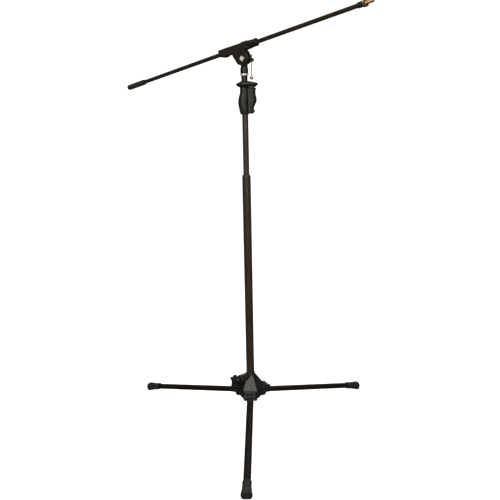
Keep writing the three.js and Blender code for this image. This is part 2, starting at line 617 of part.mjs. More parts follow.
// ---------------------------------------------------------------- boom clamp, in the boom frame
const onBoomAxis = (geometry) => alongX(geometry).translate(0, 0, BOOM_OFFSET);

function boomBlock() {
  const top = BOOM_OFFSET + 13;
  const under = BOOM_OFFSET - 10;
  const side = [[-81, top - 0.4], [-81, top - 4], [-74, under + 0.6], [-68, under - 1.2],
    [-58, under - 1.2], [-51, under + 1.2], [-38, under], [BLOCK_END, under],
    [BLOCK_END, top - 1], [14, top - 0.2], [5, top], [-1, top - 2.4]];
  const section = new THREE.Shape();
  const half = EAR_OUTER + 1;
  section.moveTo(-half, 20);
  section.lineTo(half, 20);
  const shoulder = 8;
  const shoulderZ = top + 0.3 - shoulder;
  section.absarc(half - shoulder, shoulderZ, shoulder, 0, 90 * DEG, false);
  section.absarc(shoulder - half, shoulderZ, shoulder, 90 * DEG, 180 * DEG, false);
  section.closePath();
  const bar = new THREE.ExtrudeGeometry(section, { depth: 140, bevelEnabled: false, curveSegments: 6 })
    .rotateX(Math.PI / 2).rotateZ(Math.PI / 2).translate(-100, 0, 0);
  const block = common(uprightPlate(side, -20, 20), bar);
  const ear = new THREE.Shape();
  EAR_OUTLINE.forEach(([x, z], index) => (index === 0 ? ear.moveTo(x, z) : ear.lineTo(x, z)));
  ear.closePath();
  const ears = [uprightPlate(ear, EAR_INNER, EAR_OUTER), uprightPlate(ear, -EAR_OUTER, -EAR_INNER)];
  const nose = onBoomAxis(rod(BLOCK_NOSE_R, BLOCK_END - 1, 46));
  const bores = [
    onBoomAxis(rod(BOOM_CLEAR_R, -100, 60)),
    onBoomAxis(rod(COLLET_R + GAP, 14, 60)),
    alongY(rod(TILT_BORE_R, -20, 20, ROUND_SMALL)),
  ];
  return cut(join(block, ...ears, nose), ...bores);
}

function boomClampPieces() {
  const noseBore = BLOCK_NOSE_R + GAP;
  const nutEnd = 52.5;
  const nutThroat = BOOM_CLEAR_R + 0.25;
  const nut = onBoomAxis(turned([[noseBore, BLOCK_END + GAP], [11, BLOCK_END + GAP], [11.8, 26],
    [11.6, 30], [10.7, 40], [10.7, 49], [11.4, 50.6], [10.8, nutEnd], [nutThroat, nutEnd], [nutThroat, 50.4],
    [COLLET_R + GAP, 50.4], [COLLET_R + GAP, 47], [noseBore, 47]]));
  const collet = cut(onBoomAxis(tube(COLLET_R, BOOM_CLEAR_R, 15, 50)),
    box(24, 60, -0.7, 0.7, BOOM_OFFSET, BOOM_OFFSET + 20));
  const squareHead = rod(BOLT_HEAD_R, -EAR_OUTER - 3.5, -EAR_OUTER - GAP, 4, 0.7);
  const bolt = alongY(join(squareHead, rod(TILT_BOLT_R, -EAR_OUTER - 1, 26, ROUND_SMALL)));
  const washer = (y0, y1) => alongY(cut(rod(9, y0, y1), rod(TILT_BORE_R, y0 - 1, y1 + 1, ROUND_SMALL)));
  return [
    named('boom_block', boomBlock(), hubPaint),
    named('collet_nut', nut, blackPlastic),
    named('boom_collet', collet, blackPlastic),
    named('tilt_bolt', bolt, nickel),
    named('friction_washer_near', washer(-4.7, -3.7), blackRubber),
    named('friction_washer_far', washer(3.7, 4.7), blackRubber),
  ];
}

// Clamp screw on the far side of the ears, with a cross hole for the sliding bar.
function clampScrewPieces(uprightTurn) {
  const place = (geometry) => geometry.translate(0, TBAR_DISTANCE, 0).rotateY(uprightTurn);
  const inner = EAR_OUTER + GAP;
  const head = alongY(turned([[0, inner], [8, inner], [8, 22], [6, 25], [6, 39], [5, 41], [0, 41]]));
  const boltHole = alongY(rod(TILT_BORE_R, 0, 26.5, ROUND_SMALL));
  const screwHead = cut(head, boltHole, place(rod(TBAR_R + GAP, -20, 20, ROUND_SMALL)));
  const barTop = 10.4;
  const barBottom = -47;
  const bar = rod(TBAR_R, barBottom, barTop, ROUND_SMALL);
  const ball = (r, z) => new THREE.SphereGeometry(r, 12, 8).rotateX(Math.PI / 2).translate(0, 0, z);
  const barHole = (z0, z1) => rod(TBAR_R + GAP, z0, z1, ROUND_SMALL);
  const topBall = cut(ball(3.2, barTop + 0.8), barHole(0, barTop + GAP));
  const lowBall = cut(ball(5.5, barBottom - 2.5), barHole(barBottom - GAP, -40));
  return [
    named('clamp_screw', screwHead, steel),
    named('slide_bar', place(bar), nickel),
    named('slide_bar_ball_top', place(topBall), nickel),
    named('slide_bar_ball_low', place(lowBall), nickel),
  ];
}

function boomPieces() {
  const sleeveEnd = -398;
  const sleeveLeft = BOOM_LEFT - 6;
  const sleeveR = 8.5;
  const boom = onBoomAxis(tube(BOOM_R, BOOM_BORE_R, BOOM_LEFT, BOOM_RIGHT));
  const sleeve = onBoomAxis(turned([[0, sleeveLeft], [4.5, sleeveLeft], [7.4, sleeveLeft + 1.6],
    [sleeveR, sleeveLeft + 5], [sleeveR, sleeveEnd - 9], [7, sleeveEnd - 1], [6.55, sleeveEnd],
    [BOOM_CLEAR_R, sleeveEnd], [BOOM_CLEAR_R, BOOM_LEFT - GAP], [0, BOOM_LEFT - GAP]]));
  const slug = onBoomAxis(rod(BOOM_BORE_R - GAP, BOOM_LEFT + 1, BOOM_LEFT + 66, ROUND_SMALL));
  const bushR = 7.6;
  const bush = onBoomAxis(turned([[BOOM_CLEAR_R, BOOM_RIGHT - 14], [bushR - 0.4, BOOM_RIGHT - 14],
    [bushR, BOOM_RIGHT - 12], [bushR, BOOM_RIGHT], [BOOM_CLEAR_R, BOOM_RIGHT]]));
  const studBase = BOOM_RIGHT + GAP;
  const studEnd = studBase + 28.7;
  const plugR = BOOM_BORE_R - GAP;
  const stud = onBoomAxis(turned([[0, BOOM_RIGHT - 16], [plugR, BOOM_RIGHT - 16], [plugR, studBase],
    [TIP_STUD_R, studBase], [TIP_STUD_R, studEnd - 1.2], [TIP_STUD_R - 0.76, studEnd], [0, studEnd]]));
  const nutR = 9.25;
  const nutBore = TIP_STUD_R + GAP;
  const nut = onBoomAxis(turned([[nutBore, studBase + 0.2], [nutR - 0.65, studBase + 0.2],
    [nutR, studBase + 1], [nutR, studBase + 10], [nutR - 0.85, studBase + 11],
    [nutBore, studBase + 11]]));
  return [
    named('boom_tube', boom, satinBlackTube),
    named('counterweight_sleeve', sleeve, blackRubber),
    named('counterweight_slug', slug, steel),
    named('tip_bush', bush, blackPlastic),
    named('tip_stud', stud, brass),
    named('tip_lock_nut', nut, brass),
  ];
}

// ---------------------------------------------------------------- assembly
const stand = new THREE.Group();
stand.position.z = -COLUMN_FOOT;
stand.add(...columnPieces(), ...clutchPieces(), named('hub_casting', hubCasting(), hubPaint));
stand.add(...gripPieces(), ...swivelPieces());

const knob = new THREE.Group();
knob.add(...clampKnob());
knob.position.z = KNOB_HEIGHT;
knob.rotation.z = KNOB_AZIMUTH * DEG;
stand.add(knob);

LEG_NAMES.forEach((name, index) => {
  const spoke = new THREE.Group();
  spoke.rotation.z = LEG_AZIMUTHS[index] * DEG;
  const leg = new THREE.Group();
  leg.position.set(LEG_PIN_RADIUS, 0, LEG_PIN_HEIGHT);
  leg.rotation.y = LEG_SLOPE * DEG;
  leg.add(...legPieces(name));
  spoke.add(leg);
  stand.add(spoke);
});

const swivel = new THREE.Group();
swivel.position.z = TILT_PIVOT;
swivel.rotation.z = BOOM_AZIMUTH * DEG;
const boomFrame = new THREE.Group();
boomFrame.rotation.y = -BOOM_ELEVATION * DEG;
boomFrame.add(...boomClampPieces(), ...clampScrewPieces(BOOM_ELEVATION * DEG), ...boomPieces());
swivel.add(boomFrame);
stand.add(swivel);

export default stand;
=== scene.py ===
import json
import math

import bmesh
import bpy
from mathutils import Matrix, Vector


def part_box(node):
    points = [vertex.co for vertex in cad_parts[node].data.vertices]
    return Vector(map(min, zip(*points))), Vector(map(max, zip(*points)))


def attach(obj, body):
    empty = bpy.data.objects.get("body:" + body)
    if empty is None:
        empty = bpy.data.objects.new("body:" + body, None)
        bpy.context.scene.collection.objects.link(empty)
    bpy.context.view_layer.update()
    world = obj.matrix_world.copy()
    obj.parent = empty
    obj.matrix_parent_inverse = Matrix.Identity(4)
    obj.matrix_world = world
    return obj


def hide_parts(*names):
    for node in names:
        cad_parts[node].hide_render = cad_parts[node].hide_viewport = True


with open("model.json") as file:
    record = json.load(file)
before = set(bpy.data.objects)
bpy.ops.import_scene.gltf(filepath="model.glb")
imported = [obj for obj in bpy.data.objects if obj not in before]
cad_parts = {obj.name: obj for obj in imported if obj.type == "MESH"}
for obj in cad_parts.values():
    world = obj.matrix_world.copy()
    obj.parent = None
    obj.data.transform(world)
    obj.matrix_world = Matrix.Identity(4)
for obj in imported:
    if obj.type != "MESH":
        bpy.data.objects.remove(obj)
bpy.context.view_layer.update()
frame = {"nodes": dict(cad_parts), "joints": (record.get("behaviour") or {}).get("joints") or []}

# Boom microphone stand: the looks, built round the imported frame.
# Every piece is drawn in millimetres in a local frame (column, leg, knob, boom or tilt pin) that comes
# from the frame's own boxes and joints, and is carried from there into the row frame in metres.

scene = bpy.context.scene
MM = 0.001
TAU = 2 * math.pi
GAP = 0.3                # usual clearance between two pieces, in millimetres

# ---------------------------------------------------------------- places
JOINTS = {joint["name"]: joint for joint in frame["joints"]}
UP = Vector((0, 0, 1))


def spot(joint):
    return Vector(JOINTS[joint]["pos_m"])


def direction(joint):
    return Vector(JOINTS[joint]["axis"]).normalized()


def place(origin, x, y, z):
    matrix = Matrix((x, y, z)).transposed().to_4x4()
    matrix.translation = origin
    return matrix


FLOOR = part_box("rubber_foot_front")[0].z
COLUMN = Matrix.Translation((0, 0, FLOOR))              # heights above the floor

LEGS = ("front", "right", "left")
LEG_SLOPE = math.radians(11.45)


def leg_place(name):
    """X runs down along the leg, Y along its fold pin, with the origin on the pin."""
    pin = direction("leg_fold_" + name)
    outward = pin.cross(UP)
    along = outward * math.cos(LEG_SLOPE) - UP * math.sin(LEG_SLOPE)
    return place(spot("leg_fold_" + name), along, pin, along.cross(pin))


def pin_place(name):
    """Z runs along the leg's fold pin."""
    pin = direction("leg_fold_" + name)
    return place(spot("leg_fold_" + name), UP, pin.cross(UP), pin)


knob_axis = direction("base_knob_turn")
KNOB = place(spot("base_knob_turn"), UP, knob_axis.cross(UP), knob_axis)

pivot = spot("boom_tilt")
boom_x = direction("boom_slide")
boom_y = direction("boom_tilt")
boom_z = boom_x.cross(boom_y)
boom_offset = (spot("boom_roll") - pivot).dot(boom_z) / MM   # boom axis above the tilt pin
BOOM = place(pivot, boom_x, boom_y, boom_z)
BOOM_AXIS = place(pivot + boom_z * boom_offset * MM, boom_y, boom_z, boom_x)
TILT_AXIS = place(pivot, boom_z, boom_x, boom_y)
SWIVEL = place(Vector((0, 0, FLOOR)), boom_y.cross(UP), boom_y, UP)
TILT_HEIGHT = (pivot.z - FLOOR) / MM
BAR_DISTANCE = 34.5
BAR = Matrix.Translation(pivot + boom_y * BAR_DISTANCE * MM)

# ---------------------------------------------------------------- outlines and rings


def eased(corners, radius, closed=False):
    """An outline with its corners rounded. A corner's own third value overrides the radius."""
    points = []
    count, steps = len(corners), 4
    for i, corner in enumerate(corners):
        here = Vector(corner[:2])
        own = corner[2] if len(corner) > 2 else radius
        if own == 0 or (not closed and i in (0, count - 1)):
            points.append(tuple(here))
            continue
        before = Vector(corners[i - 1][:2]) - here
        after = Vector(corners[(i + 1) % count][:2]) - here
        opening = math.tan(before.angle(after) / 2)
        reach = min(own / opening, 0.45 * before.length, 0.45 * after.length)
        start = here + before.normalized() * reach
        end = here + after.normalized() * reach
        for k in range(steps + 1):
            t = k / steps
            points.append(tuple(start * (1 - t) ** 2 + here * 2 * t * (1 - t) + end * t * t))
    return points


def braced(profile):
    """A profile with a point added close to each end of its long stretches."""
    near, long = 1.5, 6.0
    points = []
    for a, b in zip(profile, profile[1:]):
        points.append(a)
        length = math.dist(a, b)
        if length > long:
            for share in (near / length, 1 - near / length):
                points.append(tuple(p + (q - p) * share for p, q in zip(a, b)))
    return points + [profile[-1]]


def flowing(rows, per_gap=6):
    """Rows of numbers joined by a Catmull-Rom curve, with more rows between them."""
    result = []
    for i in range(len(rows) - 1):
        p0, p1, p2, p3 = (rows[min(max(k, 0), len(rows) - 1)] for k in (i - 1, i, i + 1, i + 2))
        for k in range(per_gap):
            t = k / per_gap
            result.append([
                0.5 * (2 * b + (c - a) * t + (2 * a - 5 * b + 4 * c - d) * t * t
                       + (3 * b - a - 3 * c + d) * t ** 3)
                for a, b, c, d in zip(p0, p1, p2, p3)])
    return result + [list(rows[-1])]


def oval(x0, x1, half, z, power=2.2, count=72):
    """A ring square to Z, between a rectangle and an ellipse."""
    ring = []
    for i in range(count):
        c, s = math.cos(TAU * i / count), math.sin(TAU * i / count)
        ring.append(((x0 + x1) / 2 + (x1 - x0) / 2 * math.copysign(abs(c) ** (2 / power), c),
                     half * math.copysign(abs(s) ** (2 / power), s), z))
    return ring


LEG_AXIS_DROP = 10.2


def leg_ring(x, half_width, half_height, drop=LEG_AXIS_DROP, count=64):
    """A ring square to X on the leg's tube axis."""
    return [(px, py, pz - drop) for pz, py, px in
            oval(-half_height, half_height, half_width, x, 2.4, count)]


# ---------------------------------------------------------------- solids: (points, faces) in millimetres


def skin(rings, closed=False):
    """A surface over rings that have the same count of points, capped or closed on itself."""
    count = len(rings[0])
    points = [p for ring in rings for p in ring]
    faces = []
    last = len(rings) if closed else len(rings) - 1
    for r in range(last):
        for i in range(count):
            j = (i + 1) % count
            a, b = r * count, (r + 1) % len(rings) * count
            faces.append((a + i, a + j, b + j, b + i))
    if not closed:
        for start, order in ((0, -1), ((len(rings) - 1) * count, 1)):
            points.append(tuple(sum(p[k] for p in points[start:start + count]) / count for k in range(3)))
            for i in range(count):
                j = (i + 1) % count
                faces.append((start + i, start + j, len(points) - 1)[::order])
    return points, faces


def turned(profile, sides=96, wave=None):
    """A body turned about Z from (radius, height) corners. wave(radius, height, angle) shapes it further."""
    profile = braced(profile)
    on_axis = profile[0][0] == 0 and profile[-1][0] == 0
    if on_axis:
        profile = profile[1:-1]
    rings = []
    for radius, z in profile:
        ring = []
        for i in range(sides):
            angle = TAU * i / sides
            r = wave(radius, z, angle) if wave else radius
            ring.append((r * math.cos(angle), r * math.sin(angle), z))
        rings.append(ring)
    return skin(rings, closed=not on_axis)


def rod(radius, low, high, sides=48):
    return turned([(0, low), (radius, low), (radius, high), (0, high)], sides)


def rounded_tube(outer, inner, low, high, ease=0.3, sides=96):
    corners = [(inner, low), (outer, low), (outer, high), (inner, high)]
    return turned(eased(corners, ease, closed=True), sides)


def threaded(radius, depth, pitch, low, high, sides=64):
    """A rod with a screw thread that fades in and out over one turn."""
    rings = []
    steps_per_turn = 8
    count = round((high - low) / pitch * steps_per_turn)
    for k in range(count + 1):
        z = low + (high - low) * k / count
        fade = min(1, (z - low) / pitch, (high - z) / pitch)
        ring = []
        for i in range(sides):
            phase = (z / pitch - i / sides) % 1
            r = radius - depth * fade * (1 - abs(2 * phase - 1))
            ring.append((r * math.cos(TAU * i / sides), r * math.sin(TAU * i / sides), z))
        rings.append(ring)
    return skin(rings)


def prism(first, second):
    """A solid between two like outlines, each closed by one flat face."""
    count = len(first)
    sides = [(i, (i + 1) % count, (i + 1) % count + count, i + count) for i in range(count)]
    return first + second, sides + [tuple(range(count))[::-1], tuple(range(count, 2 * count))]


def upright(outline, y0, y1):
    """An (x, z) outline given thickness along Y."""
    return prism(*([(x, y, z) for x, z in outline] for y in (y0, y1)))


def flat(outline, z0, z1):
    """An (x, y) outline given thickness along Z."""
    return prism(*([(x, y, z) for x, y in outline] for z in (z0, z1)))


def block(x0, x1, y0, y1, z0, z1):
    return flat([(x0, y0), (x1, y0), (x1, y1), (x0, y1)], z0, z1)


def moved(solid, matrix):
    return [tuple(matrix @ Vector(p)) for p in solid[0]], solid[1]


def along_x(solid):
    return [(z, x, y) for x, y, z in solid[0]], solid[1]


def along_y(solid):
    return [(y, z, x) for x, y, z in solid[0]], solid[1]


def together(*solids):
    points, faces = [], []
    for more_points, more_faces in solids:
        base = len(points)
        points += more_points
        faces += [tuple(i + base for i in face) for face in more_faces]
    return points, faces


def arc(cx, cz, radius, start, end, steps=20):
    """Points on an arc, from start to end in degrees."""
    return [(cx + radius * math.cos(math.radians(start + (end - start) * k / steps)),
             cz + radius * math.sin(math.radians(start + (end - start) * k / steps)))
            for k in range(steps + 1)]


# ---------------------------------------------------------------- work with modifiers


def raw_object(solid):
    mesh = bpy.data.meshes.new("work")
    mesh.from_pydata(solid[0], [], solid[1])
    work = bmesh.new()
    work.from_mesh(mesh)
    bmesh.ops.remove_doubles(work, verts=work.verts, dist=1e-5)
    bmesh.ops.recalc_face_normals(work, faces=work.faces)
    work.to_mesh(mesh)
    work.free()
    obj = bpy.data.objects.new("work", mesh)
    scene.collection.objects.link(obj)
    return obj


def evaluated(obj, *others):
    """What the object's modifiers make of it, as a solid. The work objects are removed."""
    graph = bpy.context.evaluated_depsgraph_get()
    mesh = bpy.data.meshes.new_from_object(obj.evaluated_get(graph))
    solid = [tuple(v.co) for v in mesh.vertices], [tuple(f.vertices) for f in mesh.polygons]
    bpy.data.meshes.remove(mesh)
    for used in (obj, *others):
        data = used.data
        bpy.data.objects.remove(used)
        bpy.data.meshes.remove(data)
    return solid


def worked(operation, solid, *tools):
    """The exact UNION, DIFFERENCE or INTERSECT of a solid with each tool in turn."""
    for tool in tools:
        obj, cutter = raw_object(solid), raw_object(tool)
        step = obj.modifiers.new("step", "BOOLEAN")
        step.solver = "EXACT"
        step.operation = operation
        step.object = cutter
        solid = evaluated(obj, cutter)
    return solid


def cast(solid, voxel, rounds):
    """The solid as a casting: its edges melt into small even radii."""
    obj = raw_object(solid)
    remesh = obj.modifiers.new("skin", "REMESH")
    remesh.mode = "VOXEL"
    remesh.voxel_size = voxel
    ease = obj.modifiers.new("ease", "SMOOTH")
    ease.factor = 0.5
    ease.iterations = rounds
    return evaluated(obj)


# ---------------------------------------------------------------- finishes


class Nodes:
    """A small helper that adds and links the nodes of one material."""

    def __init__(self, name):
        self.material = bpy.data.materials.new(name)
        self.material.use_nodes = True
        self.tree = self.material.node_tree
        self.shader = self.tree.nodes["Principled BSDF"]
        self.place = self.add("ShaderNodeTexCoord").outputs["Object"]

    def add(self, kind, **inputs):
        node = self.tree.nodes.new(kind)
        for key, value in inputs.items():
            self.feed(node.inputs[key.replace("_", " ")], value)
        return node

    def feed(self, socket, value):
        if isinstance(value, bpy.types.NodeSocket):
            self.tree.links.new(value, socket)
        else:
            socket.default_value = value

    def noise(self, size, detail=3.0, stretch=(1, 1, 1), roughness=0.55):
        """Noise with features of about that size in metres."""
        mapping = self.add("ShaderNodeMapping", Vector=self.place)
        mapping.inputs["Scale"].default_value = stretch
        node = self.add("ShaderNodeTexNoise", Vector=mapping.outputs["Vector"], Scale=1 / size,
                        Detail=detail, Roughness=roughness)
        return node.outputs["Fac"]

    def ramp(self, value, low, high, low_value=0.0, high_value=1.0):
        node = self.add("ShaderNodeMapRange", Value=value)
        for key, number in (("From Min", low), ("From Max", high), ("To Min", low_value),
                            ("To Max", high_value)):
            node.inputs[key].default_value = number
        return node.outputs["Result"]

    def combined(self, operation, a, b):
        node = self.tree.nodes.new("ShaderNodeMath")
        node.operation = operation
        self.feed(node.inputs[0], a)
        self.feed(node.inputs[1], b)
        return node.outputs["Value"]

    def times(self, a, b):
        return self.combined("MULTIPLY", a, b)

    def plus(self, a, b):
        return self.combined("ADD", a, b)

    def blend(self, share, first, second):
        node = self.tree.nodes.new("ShaderNodeMix")
        node.data_type = "RGBA"
        # a mix of colours has its factor in socket 0, its colours in 6 and 7 and its result in 2
        for socket, value in ((0, share), (6, first), (7, second)):
            self.feed(node.inputs[socket], value)
        return node.outputs[2]

    def edges(self):
        """1 on convex edges, 0 on flat and hollow places."""
        return self.ramp(self.add("ShaderNodeNewGeometry").outputs["Pointiness"], 0.515, 0.56)


def colour(red, green, blue):
    return (red, green, blue, 1.0)


def finish(name, tone, other, worn, rough, grain, depth, metal=0.0, patch=0.03, wear=0.6,
           streak=(1, 1, 1), specular=0.5, sheen=0.0):
    """A surface with drifting tone, worn edges, uneven gloss and a fine bump.
    grain is the bump's feature size and depth its height, both in metres; streak stretches it."""
    rough_swing = 0.08
    n = Nodes(name)
    drift = n.ramp(n.noise(patch, 4.0), 0.35, 0.65)
    rub = n.times(n.edges(), n.ramp(n.noise(patch / 6, 3.0), 0.38, 0.62, 0.25, 1.0))
    scuff = n.ramp(n.noise(patch / 2.5, 6.0, roughness=0.7), 0.6, 0.78)
    base = n.blend(drift, colour(*tone), colour(*other))
    base = n.blend(n.times(scuff, 0.35), base, colour(*worn))
    base = n.blend(n.times(rub, wear), base, colour(*worn))
    n.feed(n.shader.inputs["Base Color"], base)
    gloss = n.ramp(n.noise(patch / 1.7, 5.0), 0.3, 0.7, rough - rough_swing, rough + rough_swing)
    n.feed(n.shader.inputs["Roughness"], n.plus(gloss, n.times(scuff, 0.08)))
    n.shader.inputs["Metallic"].default_value = metal
    n.shader.inputs["Specular IOR Level"].default_value = specular
    n.shader.inputs["Sheen Weight"].default_value = sheen
    bump = n.add("ShaderNodeBump", Height=n.noise(grain, 2.0, streak))
    bump.inputs["Strength"].default_value = 0.6
    bump.inputs["Distance"].default_value = depth
    n.feed(n.shader.inputs["Normal"], bump.outputs["Normal"])
    return n.material


TURNED = (1, 1, 12)      # bump squeezed along Z: fine rings round a turned piece
DRAWN = (9, 9, 1)        # bump stretched along Z: fine lines along a drawn piece

# The tubes' one paint comes in three copies of different tone: the legs' copy is painted darker (painted
# shade), the column's copy lighter (painted light), and the boom's copy lies between them.
leg_paint_painted_shade = finish("leg_paint_painted_shade", (0.0095, 0.0064, 0.0044), (0.0150, 0.0104, 0.0074),
                   (0.045, 0.037, 0.03), 0.36, 0.0009, 0.00002, patch=0.05, specular=0.12)
sleeve_paint_painted_light = finish("sleeve_paint_painted_light", (0.032, 0.0220, 0.0158), (0.045, 0.0322, 0.0240),
                      (0.08, 0.064, 0.052), 0.38, 0.0009, 0.00002, patch=0.05, specular=0.4)
boom_paint = finish("boom_paint", (0.018, 0.0132, 0.0098), (0.028, 0.0208, 0.0158),
                    (0.065, 0.052, 0.042), 0.30, 0.0009, 0.00002, patch=0.05, specular=0.45)
hub_paint = finish("hub_paint", (0.0155, 0.0185, 0.0160), (0.0240, 0.0280, 0.0248),
                   (0.12, 0.125, 0.115), 0.33, 0.0016, 0.00009, patch=0.02, wear=0.4, specular=0.4)
block_paint = finish("block_paint", (0.0165, 0.0128, 0.0095), (0.0260, 0.0205, 0.0158),
                     (0.07, 0.06, 0.05), 0.42, 0.0016, 0.00011, patch=0.018, wear=0.4, specular=0.35)
black_plastic = finish("black_plastic", (0.008, 0.0074, 0.0064), (0.013, 0.012, 0.0105),
                       (0.04, 0.037, 0.033), 0.48, 0.0007, 0.00003, patch=0.02, wear=0.35, specular=0.35)
bush_plastic = finish("bush_plastic", (0.034, 0.0265, 0.0215), (0.046, 0.0365, 0.0300),
                      (0.10, 0.085, 0.072), 0.42, 0.0007, 0.00003, patch=0.02, wear=0.5, specular=0.4)
grip_plastic = finish("grip_plastic", (0.014, 0.0135, 0.0112), (0.020, 0.0195, 0.0165),
                      (0.05, 0.049, 0.044), 0.45, 0.0006, 0.00005, patch=0.02, wear=0.3, specular=0.35)
rubber = finish("rubber", (0.014, 0.0125, 0.0105), (0.024, 0.022, 0.019),
                (0.06, 0.056, 0.05), 0.6, 0.0009, 0.00007, patch=0.012, wear=0.45, sheen=0.1, specular=0.3)
# The tilt bolt's nickel has a near-white base with little metal, lit diffusely by the lamps: painted
# reflection standing for the bright shine of the plated head.
nickel = finish("nickel", (0.93, 0.91, 0.86), (0.86, 0.83, 0.77), (0.96, 0.95, 0.92),
                0.3, 0.0006, 0.00001, metal=0.12, patch=0.01, streak=TURNED)
rose_nickel = finish("rose_nickel", (0.42, 0.27, 0.20), (0.30, 0.19, 0.14), (0.66, 0.52, 0.44),
                     0.3, 0.0005, 0.00001, metal=1.0, patch=0.01, streak=DRAWN)
pale_nickel = finish("pale_nickel", (0.62, 0.50, 0.43), (0.50, 0.39, 0.33), (0.80, 0.72, 0.66),
                     0.26, 0.0005, 0.00001, metal=0.55, patch=0.01)
# The lock ring's steel has a near-white base with little metal, lit diffusely by the lamps: painted
# reflection standing for the white shine across the plated ring.
bright_steel = finish("bright_steel", (0.88, 0.87, 0.84), (0.80, 0.79, 0.76), (0.94, 0.93, 0.91),
                      0.36, 0.0005, 0.00001, metal=0.3, patch=0.008, streak=TURNED)
steel = finish("steel", (0.46, 0.45, 0.43), (0.36, 0.35, 0.33), (0.7, 0.69, 0.66),
               0.34, 0.0006, 0.00001, metal=1.0, patch=0.012, streak=TURNED)
black_steel = finish("black_steel", (0.009, 0.0082, 0.0066), (0.015, 0.014, 0.0118),
                     (0.12, 0.11, 0.095), 0.36, 0.0006, 0.00002, metal=0.1, patch=0.014, wear=0.4,
                     streak=TURNED, specular=0.4)
brass = finish("brass", (0.52, 0.365, 0.235), (0.42, 0.29, 0.185), (0.72, 0.58, 0.42),
               0.3, 0.0006, 0.00001, metal=1.0, patch=0.01, streak=TURNED)

# ---------------------------------------------------------------- pieces


def piece(name, solid, where, body, material, slot, *nodes, crease=32.0):
    """A shown piece: shaded smooth between its creases, riding on a body and standing for CAD nodes."""
    mesh = bpy.data.meshes.new(name)
    mesh.from_pydata([tuple(c * MM for c in p) for p in solid[0]], [], solid[1])
    work = bmesh.new()
    work.from_mesh(mesh)
    bmesh.ops.remove_doubles(work, verts=work.verts, dist=1e-8)
    bmesh.ops.recalc_face_normals(work, faces=work.faces)
    limit = math.radians(crease)
    for edge in work.edges:
        edge.smooth = len(edge.link_faces) != 2 or edge.calc_face_angle(0) < limit
    for face in work.faces:
        face.smooth = True
    work.to_mesh(mesh)
    work.free()
    mesh.materials.append(material)
    obj = bpy.data.objects.new(name, mesh)
    scene.collection.objects.link(obj)
    obj.matrix_world = where
    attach(obj, body)
    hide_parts(*nodes)


# ---------------------------------------------------------------- column
LOWER_TUBE_R, LOWER_BORE_R = 12.5, 11.3
INNER_TUBE_R, INNER_BORE_R = 8.75, 7.75
INNER_TUBE_BOTTOM, INNER_TUBE_TOP = 325, 982
FOOT, TUBE_BOTTOM, TUBE_TOP = 70, 76.6, 762
BUSH_TOP = 774.5
FIT_R = LOWER_BORE_R - GAP          # what sits inside the lower tube

plug_profile = [(0, FOOT), (LOWER_TUBE_R, FOOT), (LOWER_TUBE_R, TUBE_BOTTOM - GAP),
                (FIT_R, TUBE_BOTTOM - GAP), (FIT_R, 90), (0, 90)]
piece("column_plug", turned(eased(plug_profile, 0.9)), COLUMN, "lower_column", black_plastic, "black_plastic",
      "column_end_plug")
piece("column_lower_tube", rounded_tube(LOWER_TUBE_R, LOWER_BORE_R, TUBE_BOTTOM, TUBE_TOP),
      COLUMN, "lower_column", sleeve_paint_painted_light, "tube_paint", "lower_tube")
bush_profile = [
    (INNER_TUBE_R + GAP, 735), (FIT_R, 735), (FIT_R, TUBE_TOP + GAP), (LOWER_TUBE_R, TUBE_TOP + GAP),
    (LOWER_TUBE_R, 768.5), (12.1, 769.2), (12.1, 770), (11.9, 771.5), (10.5, BUSH_TOP),
    (INNER_TUBE_R + GAP, BUSH_TOP)]
piece("column_guide_bush", turned(eased(bush_profile, 0.4, closed=True)), COLUMN, "lower_column",
      bush_plastic, "black_plastic", "guide_bush")
piece("column_inner_tube", rounded_tube(INNER_TUBE_R, INNER_BORE_R, INNER_TUBE_BOTTOM, INNER_TUBE_TOP),
      COLUMN, "upper_column", sleeve_paint_painted_light, "tube_paint", "inner_tube")

# ---------------------------------------------------------------- leg hub
HUB_TOP, HUB_BOTTOM = 156.5, 76.5
LEG_PIN_RADIUS = spot("leg_fold_front").xy.length / MM
LEG_PIN_HEIGHT = (spot("leg_fold_front").z - FLOOR) / MM
LEG_PIN_R = 2.5
HUB_BOSS_HALF = 15.6
HUB_SLOT_HALF = 11.2
HUB_BORE_R = 13
HUB_COLLAR_R = 15.2
KNOB_HEIGHT = (KNOB.translation.z - FLOOR) / MM
KNOB_BOSS_END, KNOB_BOSS_R = 45, 12.5
KNOB_SCREW_R = 3


